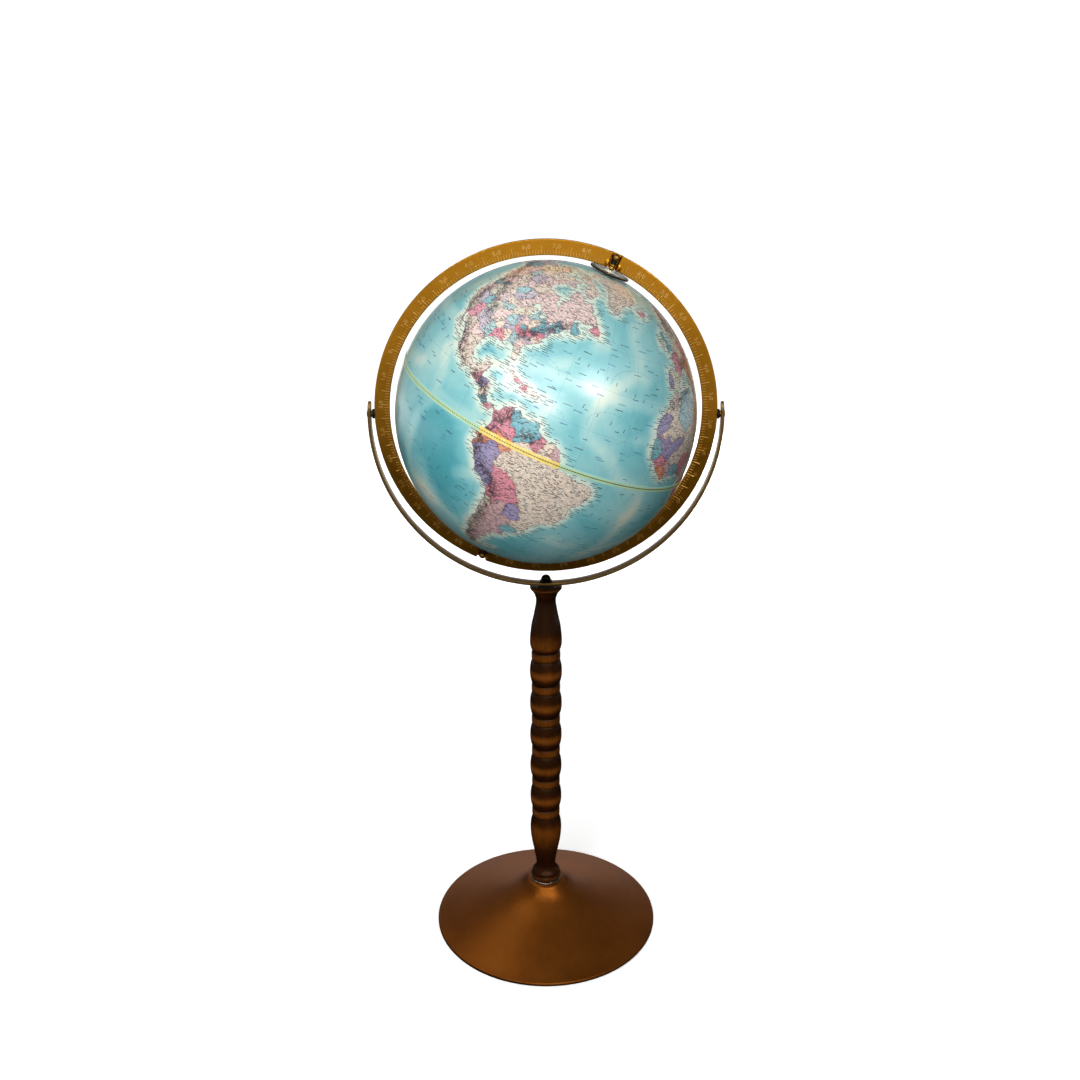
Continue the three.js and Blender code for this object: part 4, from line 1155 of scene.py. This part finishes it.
def map_material():
    """Printed, varnished paper: tinted seas and lands, relief, coast line, borders, graticule."""
    shader = Shader("printed_map", Coat_Weight=0.8, Coat_Roughness=0.24)
    broad = shader.noise(80, 4, 0.55).outputs["Fac"]
    fine = shader.noise(420, 4, 0.65).outputs["Fac"]
    wander = shader.math("ADD", shader.math("MULTIPLY_ADD", broad, 8.0, -4.0),
                         shader.math("MULTIPLY_ADD", fine, 4.0, -2.0))
    coast = shader.math("ADD", shader.attribute("coast"), wander)
    crags = shader.noise(300, 5, 0.75, distortion=1.0).outputs["Fac"]
    high = shader.math("SUBTRACT", 1.0, shader.between(shader.attribute("peaks"), 2.0, 9.0))
    crags = shader.between(shader.math("MULTIPLY_ADD", high, 0.06, crags), 0.5, 0.58)
    relief = shader.math("MULTIPLY", shader.math("MULTIPLY_ADD", high, 0.9, 0.1), crags)
    is_land = shader.between(coast, -0.1, 0.1)
    tone = shader.mix(is_land, sea_tone(shader), land_tone(shader, relief))
    ink = shader.between(shader.math("ABSOLUTE", coast), 0.15, 0.45, 1.0, 0.0)
    tone = shader.mix(shader.math("MULTIPLY", ink, 0.62), tone, linear("#3a4654"))
    lines = shader.math("MULTIPLY", graticule(shader, 15, 0.2), 0.34)
    tone = shader.mix(lines, tone, linear("#3f7f9d"))
    shader.set("Base Color", tone)
    shader.set("Roughness", shader.between(fine, 0.3, 0.7, 0.36, 0.44))
    raised = shader.math("MULTIPLY_ADD", relief, is_land, shader.math("MULTIPLY", is_land, 0.3))
    raised = shader.math("MULTIPLY_ADD", fine, 0.15, raised)
    shader.bump(raised, 0.0006, 0.5)
    return shader.material


def tape_material():
    """The equator tape: yellow over land, yellow-green over sea, with a black centre line."""
    shader = Shader("printed_tape", Coat_Weight=0.5, Coat_Roughness=0.2)
    print_noise = shader.noise(160, 4).outputs["Fac"]
    sea = shader.mix(shader.between(print_noise, 0.35, 0.65), linear("#b9dcae"), linear("#d6e596"))
    land = shader.mix(shader.between(print_noise, 0.35, 0.65), linear("#f1d35a"), linear("#f8e594"))
    inland = shader.between(shader.attribute("coast"), -0.3, 0.3)
    tone = shader.mix(inland, sea, land)
    x, y, z = shader.xyz(shader.attribute("globe", "Vector"))
    lift = shader.math("MULTIPLY", shader.math("ABSOLUTE", z), GLOBE_RADIUS / MM)
    lon = shader.math("MULTIPLY", shader.math("ARCTAN2", y, x), 180 / math.pi)
    offset = shader.math("ABSOLUTE", shader.math("SUBTRACT", lon, shader.math("ROUND", lon)))
    at_degree, near_line = shader.math("LESS_THAN", offset, 0.09), shader.math("LESS_THAN", lift, 0.95)
    tick = shader.math("MULTIPLY", at_degree, near_line)
    half = shader.between(lon, -78, -45, 0.16, 0.42)
    line = shader.math("MAXIMUM", shader.math("LESS_THAN", lift, half), tick)
    faded, at_sea = shader.between(lift, 0.9, 2.5, 0.1, 0.85), shader.math("SUBTRACT", 1.0, inland)
    tone = shader.mix(shader.math("MULTIPLY", faded, at_sea), tone, linear("#97d0cf"))
    tone = shader.mix(shader.math("MULTIPLY", line, 0.85), tone, linear("#1f2a18"))
    shader.set("Base Color", tone)
    shader.set("Roughness", shader.between(print_noise, 0.3, 0.7, 0.34, 0.42))
    shader.bump(print_noise, 0.00002, 0.4)
    return shader.material


def ink_material(name, base, deep):
    """Printing ink: slightly uneven tone and gloss."""
    shader = Shader(name)
    clouds = shader.noise(300, 3).outputs["Fac"]
    shader.set("Base Color", shader.mix(clouds, linear(base), linear(deep)))
    shader.set("Roughness", shader.between(clouds, 0.3, 0.7, 0.35, 0.5))
    shader.bump(clouds, 0.00001, 0.3)
    return shader.material


# ---- globe pieces --------------------------------------------------------------------
FACING = -RING_Y
EAST = POLE.cross(FACING)
TURN = math.radians(-FACING_LONGITUDE)
MERIDIAN_ZERO = FACING * math.cos(TURN) + EAST * math.sin(TURN)


def on_globe(obj):
    """From the globe's own frame (X at longitude zero, Z at the north pole) to its place."""
    return place(obj, CENTRE, x=MERIDIAN_ZERO, z=POLE)


def mesh_spots(obj):
    """Each point of the mesh as a unit vector from the globe's centre."""
    spots = np.empty(len(obj.data.vertices) * 3)
    obj.data.vertices.foreach_get("co", spots)
    spots = spots.reshape(-1, 3)
    return spots / np.linalg.norm(spots, axis=1, keepdims=True)


def hemisphere(name, sign):
    """Half of the globe's shell, with its pole hole and a thin wall."""
    seam, hole, wall = 0.0004, 4.5 * MM, 2 * MM
    top = math.acos(hole / GLOBE_RADIUS)
    profile = []
    for radius, angles in ((GLOBE_RADIUS, np.linspace(seam, top, 120)),
                           (GLOBE_RADIUS - wall, np.linspace(top, seam, 10))):
        profile += [(radius * math.cos(a), radius * math.sin(a)) for a in angles]
    if sign < 0:
        profile = [(r, -z) for r, z in reversed(profile)]
    obj = revolve(name, profile, 480)
    paint(obj, mesh_spots(obj))
    return on_globe(obj)


def equator_tape():
    low, high = 152.5, 152.95
    obj = revolve("printed_equator", scaled(rounded(
        [(low, -2.75), (high, -2.75), (high, -0.9), (high, 0.9), (high, 2.75), (low, 2.75)], 0.15)), 720)
    spots = mesh_spots(obj)
    flat = spots * (1, 1, 0)
    flat /= np.linalg.norm(flat, axis=1, keepdims=True)
    give(obj, "coast", coast_distance(flat))
    give(obj, "globe", spots)
    return on_globe(obj)


def grommets():
    for side, sign in (("north", 1), ("south", -1)):
        base = 152.25
        obj = revolve(f"{side}_bushing", scaled(rounded([
            (2.1, 149.5), (4.2, 149.5), (4.2, base), (6.5, base), (6.5, base + 0.6), (5.9, base + 0.95),
            (2.6, base + 0.95), (2.1, base + 0.6)], 0.2)), 64)
        place(obj, CENTRE, x=FACING, z=POLE * sign)
        attach(obj, "globe", "pale_plastic", PALE_PLASTIC, f"{side}_grommet")


class Ink:
    """Small flat printed marks that follow the globe, set by place and millimetre offsets."""

    LIFT = 0.06 * MM

    def __init__(self, name, material):
        self.name, self.material = name, material
        self.points, self.faces = [], []

    def bar(self, lon, lat, x0, x1, y0, y1, slope=0.0):
        start = len(self.points)
        for x, y in ((x0, y0), (x1, y0), (x1, y1), (x0, y1)):
            x, y = x * math.cos(slope) - y * math.sin(slope), x * math.sin(slope) + y * math.cos(slope)
            north = math.radians(lat) + y * MM / GLOBE_RADIUS
            east = math.radians(lon) + x * MM / GLOBE_RADIUS / max(math.cos(math.radians(lat)), 0.05)
            ring = math.cos(north)
            spot = Vector((ring * math.cos(east), ring * math.sin(east), math.sin(north)))
            self.points.append(spot * (GLOBE_RADIUS + self.LIFT))
        self.faces.append((start, start + 1, start + 2, start + 3))

    def caption(self, rng, lon, lat, length, height, slope=0.0):
        """A row of close upright blocks that stands for a small printed name."""
        x = 0.0
        while x < length:
            wide = rng.uniform(0.28, 0.62)
            self.bar(lon, lat, x, x + wide, 0, height * rng.choice((0.6, 0.75, 1.0)), slope)
            x += wide + rng.uniform(0.08, 0.2)

    def finish(self):
        obj = on_globe(mesh_object(self.name, self.points, self.faces))
        attach(obj, "globe", "map_print", self.material)


def random_spots(rng, count):
    z = rng.uniform(-0.97, 0.97, count)
    lon = rng.uniform(-180, 180, count)
    return lon, np.degrees(np.arcsin(z))


def captions(black, blue, red):
    """Names greeked as rows of blocks: crowded on land and off the coasts, sparse at sea."""
    rng = np.random.default_rng(12)
    row_gap = 0.72       # degrees between the rows
    offshore = -7        # millimetres from the coast, beyond which names are rare
    taken = {}
    lon, lat = random_spots(rng, 32000)
    lat = np.round(lat / row_gap) * row_gap
    coast = coast_distance(unit(lon, lat))
    for x, y, inland, luck in zip(lon, lat, coast, rng.random(len(lon))):
        length = rng.uniform(2, 5) if inland > 0 else rng.uniform(3.5, 9)
        span = math.degrees(length * MM / GLOBE_RADIUS / math.cos(math.radians(y)))
        row = taken.setdefault(round(y / row_gap), [])
        crowded = any(x < end + 0.2 and x + span > start - 0.2 for start, end in row)
        share = 0.8 if inland > 0 else 0.9 if inland > offshore else 0.03
        if luck > share or crowded or abs(y) < 1.3:
            continue
        row.append((x, x + span))
        ink = blue if inland < offshore and luck < 0.018 else red if inland > 1 and luck < 0.35 else black
        ink.caption(rng, x, y, length, rng.uniform(0.8, 1.2), rng.normal(0, 0.3 if inland > 0 else 0.03))


def place_dots(black, red):
    """Town dots inside the coasts."""
    rng = np.random.default_rng(5)
    lon, lat = random_spots(rng, 3200)
    coast = coast_distance(unit(lon, lat))
    for x, y, inland in zip(lon, lat, coast):
        if inland > 0.6:
            half = rng.uniform(0.16, 0.3)
            (red if half > 0.25 else black).bar(x, y, -half, half, -half, half)


def currents(blue):
    """Dashed lines of the sea currents, as arcs of short dashes."""
    rng = np.random.default_rng(3)
    arcs = [(-38, 18, 9, -60, 200), (-30, 33, 12, 20, 190), (-22, 8, 7, -20, 150), (-45, 42, 10, 0, 160),
            (-30, 55, 9, 40, 230), (-95, -6, 12, 150, 330), (-100, -25, 13, 60, 300), (-88, -40, 9, 0, 180),
            (-25, -18, 12, 100, 330), (-35, -36, 10, 0, 240), (-120, 15, 12, 0, 180), (-70, 28, 7, 10, 170),
            (-15, -3, 8, 160, 340), (-60, 15, 5, 0, 140), (-130, 38, 14, 40, 250), (0, -28, 10, 40, 260),
            (75, -25, 15, 0, 250), (155, 30, 15, 0, 250), (165, -10, 14, 90, 330), (-160, 0, 16, 20, 200)]
    for lon, lat, size, start, end in arcs:
        for a in np.arange(start, end, 240 / size / 2):
            t = math.radians(a)
            x, y = size * math.cos(t), size * 0.55 * math.sin(t)
            slope = math.atan2(0.55 * math.cos(t), -math.sin(t))
            long = 1.1 + rng.uniform(0, 0.5)
            blue.bar(lon + x, lat + y, -long, long, -0.11, 0.11, slope)


def spaced_marks(black):
    """Widely spaced upright marks along a curve, where a map prints a sea's or a land's name."""
    rows = [(-58, 36.5, 4.6, -0.9, 12), (-66, -4, 4.2, -3.2, 9), (-50, 22, 6, -1.2, 7),
            (-30, -14, 4.4, -1.0, 8), (-128, 24, 5, -1.4, 9), (-112, -18, 5, -1.2, 8),
            (-100, 50, 5.4, 0.2, 8), (60, -12, 5, -1, 8), (150, 22, 5, -1, 9), (70, 52, 6, 0.2, 9),
            (8, 12, 4.5, -0.6, 8)]
    half_tall, half_wide, half_foot, foot = 1.5, 0.26, 0.75, 0.3
    for lon, lat, step, drop, count in rows:
        slope = math.atan2(drop, step)
        for k in range(count):
            x, y = lon + k * step, lat + k * drop
            black.bar(x, y, -half_wide, half_wide, -half_tall, half_tall, slope)
            for end in (-half_tall, half_tall - foot):
                black.bar(x, y, -half_foot, half_foot, end, end + foot, slope)


def globe_pieces():
    map_look = map_material()
    attach(hemisphere("northern_half", 1), "globe", "map_print", map_look, "north_hemisphere")
    attach(hemisphere("southern_half", -1), "globe", "map_print", map_look, "south_hemisphere")
    attach(equator_tape(), "globe", "tape_print", tape_material(), "equator_tape")
    grommets()
    black = Ink("black_print", ink_material("black_ink", "#0f141b", "#202a34"))
    blue = Ink("blue_print", ink_material("blue_ink", "#1d5f93", "#2f78a5"))
    red = Ink("red_print", ink_material("red_ink", "#7a3b33", "#54403a"))
    captions(black, blue, red)
    place_dots(black, red)
    currents(blue)
    spaced_marks(black)
    for ink in (black, blue, red):
        ink.finish()


globe_pieces()


# ---- looks of the carried-over CAD nodes ---------------------------------------------
def dress_node(name, material):
    for slot in frame["nodes"][name].material_slots:
        slot.material = material


for node, look in (("base_felt", FELT), ("base_plate", BOARD), ("base_weight", CAST_IRON),
                   ("base_nut", BRIGHT_ZINC), ("base_nut_washer", BRIGHT_ZINC), ("tie_rod", BRIGHT_ZINC),
                   ("equator_hoop", BOARD)):
    dress_node(node, look)


# ---- stage, lights and camera --------------------------------------------------------
def floor_material():
    """Pale studio floor that glows for the camera, less near the stand, a painted shade round it; to gloss it
    glows as a painted room, dark near the stand and light further off.
    """
    shader = Shader("pale_floor", Roughness=0.9, Emission_Strength=1.0)
    clouds = shader.noise(1.3, 4).outputs["Fac"]
    length = shader.node("ShaderNodeVectorMath", operation="LENGTH")
    shader.link(shader.object_space, length.inputs[0])
    away = length.outputs["Value"]
    shader.set("Base Color", shader.mix(clouds, grey(0.84), grey(0.9)))
    # Painted glow for the camera: dimmer near the stand, a painted shade round it.
    shader.set("Emission Color", shader.ramp(shader.between(away, 0.0, 2.0), [
        (0.0, grey(0.42)), (0.3, grey(0.6)), (1.0, grey(1.0))]))
    # Painted reflection: the room that gloss sees, glowing from the floor.
    glow = shader.node("ShaderNodeEmission")
    shader.link(shader.ramp(shader.between(away, 0.0, 5.0), [
        (0.0, (0.008, 0.007, 0.005)), (0.32, (0.013, 0.011, 0.008)), (0.44, (0.1, 0.095, 0.09)),
        (0.58, (1.12, 1.1, 1.05)), (0.8, (1.35, 1.32, 1.27))]), glow.inputs[0])
    dim = shader.node("ShaderNodeBsdfDiffuse")
    dim.inputs[0].default_value = grey(0.22)
    path = shader.node("ShaderNodeLightPath")
    room = shader.node("ShaderNodeMixShader")
    shader.link(path.outputs["Is Glossy Ray"], room.inputs[0])
    shader.link(dim.outputs[0], room.inputs[1])
    shader.link(glow.outputs[0], room.inputs[2])
    both = shader.node("ShaderNodeMixShader")
    shader.link(path.outputs["Is Camera Ray"], both.inputs[0])
    shader.link(room.outputs[0], both.inputs[1])
    shader.link(shader.surface.outputs[0], both.inputs[2])
    shader.link(both.outputs[0], shader.tree.nodes["Material Output"].inputs[0])
    return shader.material


def stage_floor():
    builder = bmesh.new()
    bmesh.ops.create_circle(builder, cap_ends=True, radius=8, segments=96)
    mesh = bpy.data.meshes.new("floor")
    builder.to_mesh(mesh)
    builder.free()
    mesh.materials.append(floor_material())
    add_object("floor", mesh)


def studio_sky():
    """White to the camera; to everything else, a dim room that is a little darker overhead."""
    world = bpy.data.worlds.new("studio")
    bpy.context.scene.world = world
    world.use_nodes = True
    nodes, links = world.node_tree.nodes, world.node_tree.links
    room = nodes["Background"]
    parts = nodes.new("ShaderNodeSeparateXYZ")
    links.new(nodes.new("ShaderNodeTexCoord").outputs["Generated"], parts.inputs[0])
    ramp = nodes.new("ShaderNodeValToRGB")
    stops = [(0.0, 0.26), (0.25, 0.24), (0.6, 0.2), (1.0, 0.2)]
    while len(ramp.color_ramp.elements) < len(stops):
        ramp.color_ramp.elements.new(0.5)
    for element, (position, value) in zip(ramp.color_ramp.elements, stops):
        element.position, element.color = position, (value, value * 0.985, value * 0.96, 1)
    links.new(parts.outputs[2], ramp.inputs[0])
    links.new(ramp.outputs[0], room.inputs[0])
    room.inputs[1].default_value = 1.0
    white = nodes.new("ShaderNodeBackground")
    white.inputs[0].default_value = grey(1.0)
    white.inputs[1].default_value = 1.05
    mixed = nodes.new("ShaderNodeMixShader")
    links.new(nodes.new("ShaderNodeLightPath").outputs["Is Camera Ray"], mixed.inputs[0])
    links.new(room.outputs[0], mixed.inputs[1])
    links.new(white.outputs[0], mixed.inputs[2])
    links.new(mixed.outputs[0], nodes["World Output"].inputs[0])


CAMERA_PITCH = math.radians(19.27)
CAMERA_PLACE = Vector((0, -1.1646, 0.8771))

# Name, direction as right, up and near, distance, diameter, radiance, and whether only gloss sees it.
LIGHTS = (
    ("key_fill", (-0.2, 0.26, 0.9), 2.2, 1.1, 14.6, False),
    ("low_fill", (0.0, -0.35, 0.9), 2.4, 1.1, 2.9, False),
    ("rear_fill", (0.35, 0.3, -0.9), 2.4, 1.2, 9.0, False),
    ("left_box", (-0.43, 0.31, 0.8), 1.9, 0.34, 19, True),
    ("front_box", (0.06, 0.04, 1.0), 1.35, 0.12, 22, True),
    ("right_box", (0.53, 0.24, 0.77), 1.7, 0.5, 13.5, True),
    ("overhead_box", (-0.5, 0.95, 0.1), 2.2, 1.4, 1.8, True),
    ("room_front", (0.0, 0.15, 1.0), 3.2, 2.3, 2.7, True),
    ("room_rear", (0.0, 0.1, -1.0), 3.0, 2.6, 0.9, True),
)


def soft_light(name, aim, distance, size, radiance, gloss):
    """A round soft box aimed at the globe; light for colour and light for gloss are separate."""
    right, up, near = aim
    lift, back = math.sin(CAMERA_PITCH), math.cos(CAMERA_PITCH)
    direction = Vector((right, up * lift - near * back, up * back + near * lift)).normalized()
    lamp = bpy.data.lights.new(name, "AREA")
    lamp.shape = "DISK"
    lamp.size = size
    lamp.energy = radiance * math.pi * math.pi * size ** 2 / 4
    obj = add_object(name, lamp)
    obj.location = CENTRE + direction * distance
    obj.rotation_euler = direction.to_track_quat("Z", "Y").to_euler()
    obj.visible_camera = False
    obj.visible_glossy = gloss
    obj.visible_diffuse = not gloss


def camera():
    lens = bpy.data.cameras.new("camera")
    lens.lens = 38.98
    lens.sensor_width = 36
    lens.shift_x = -0.0055
    obj = add_object("camera", lens)
    obj.location = CAMERA_PLACE
    obj.rotation_euler = (math.pi / 2 - CAMERA_PITCH, 0, 0)
    bpy.context.scene.camera = obj


stage_floor()
studio_sky()
for light in LIGHTS:
    soft_light(*light)
camera()
bpy.context.scene.view_settings.view_transform = "Standard"
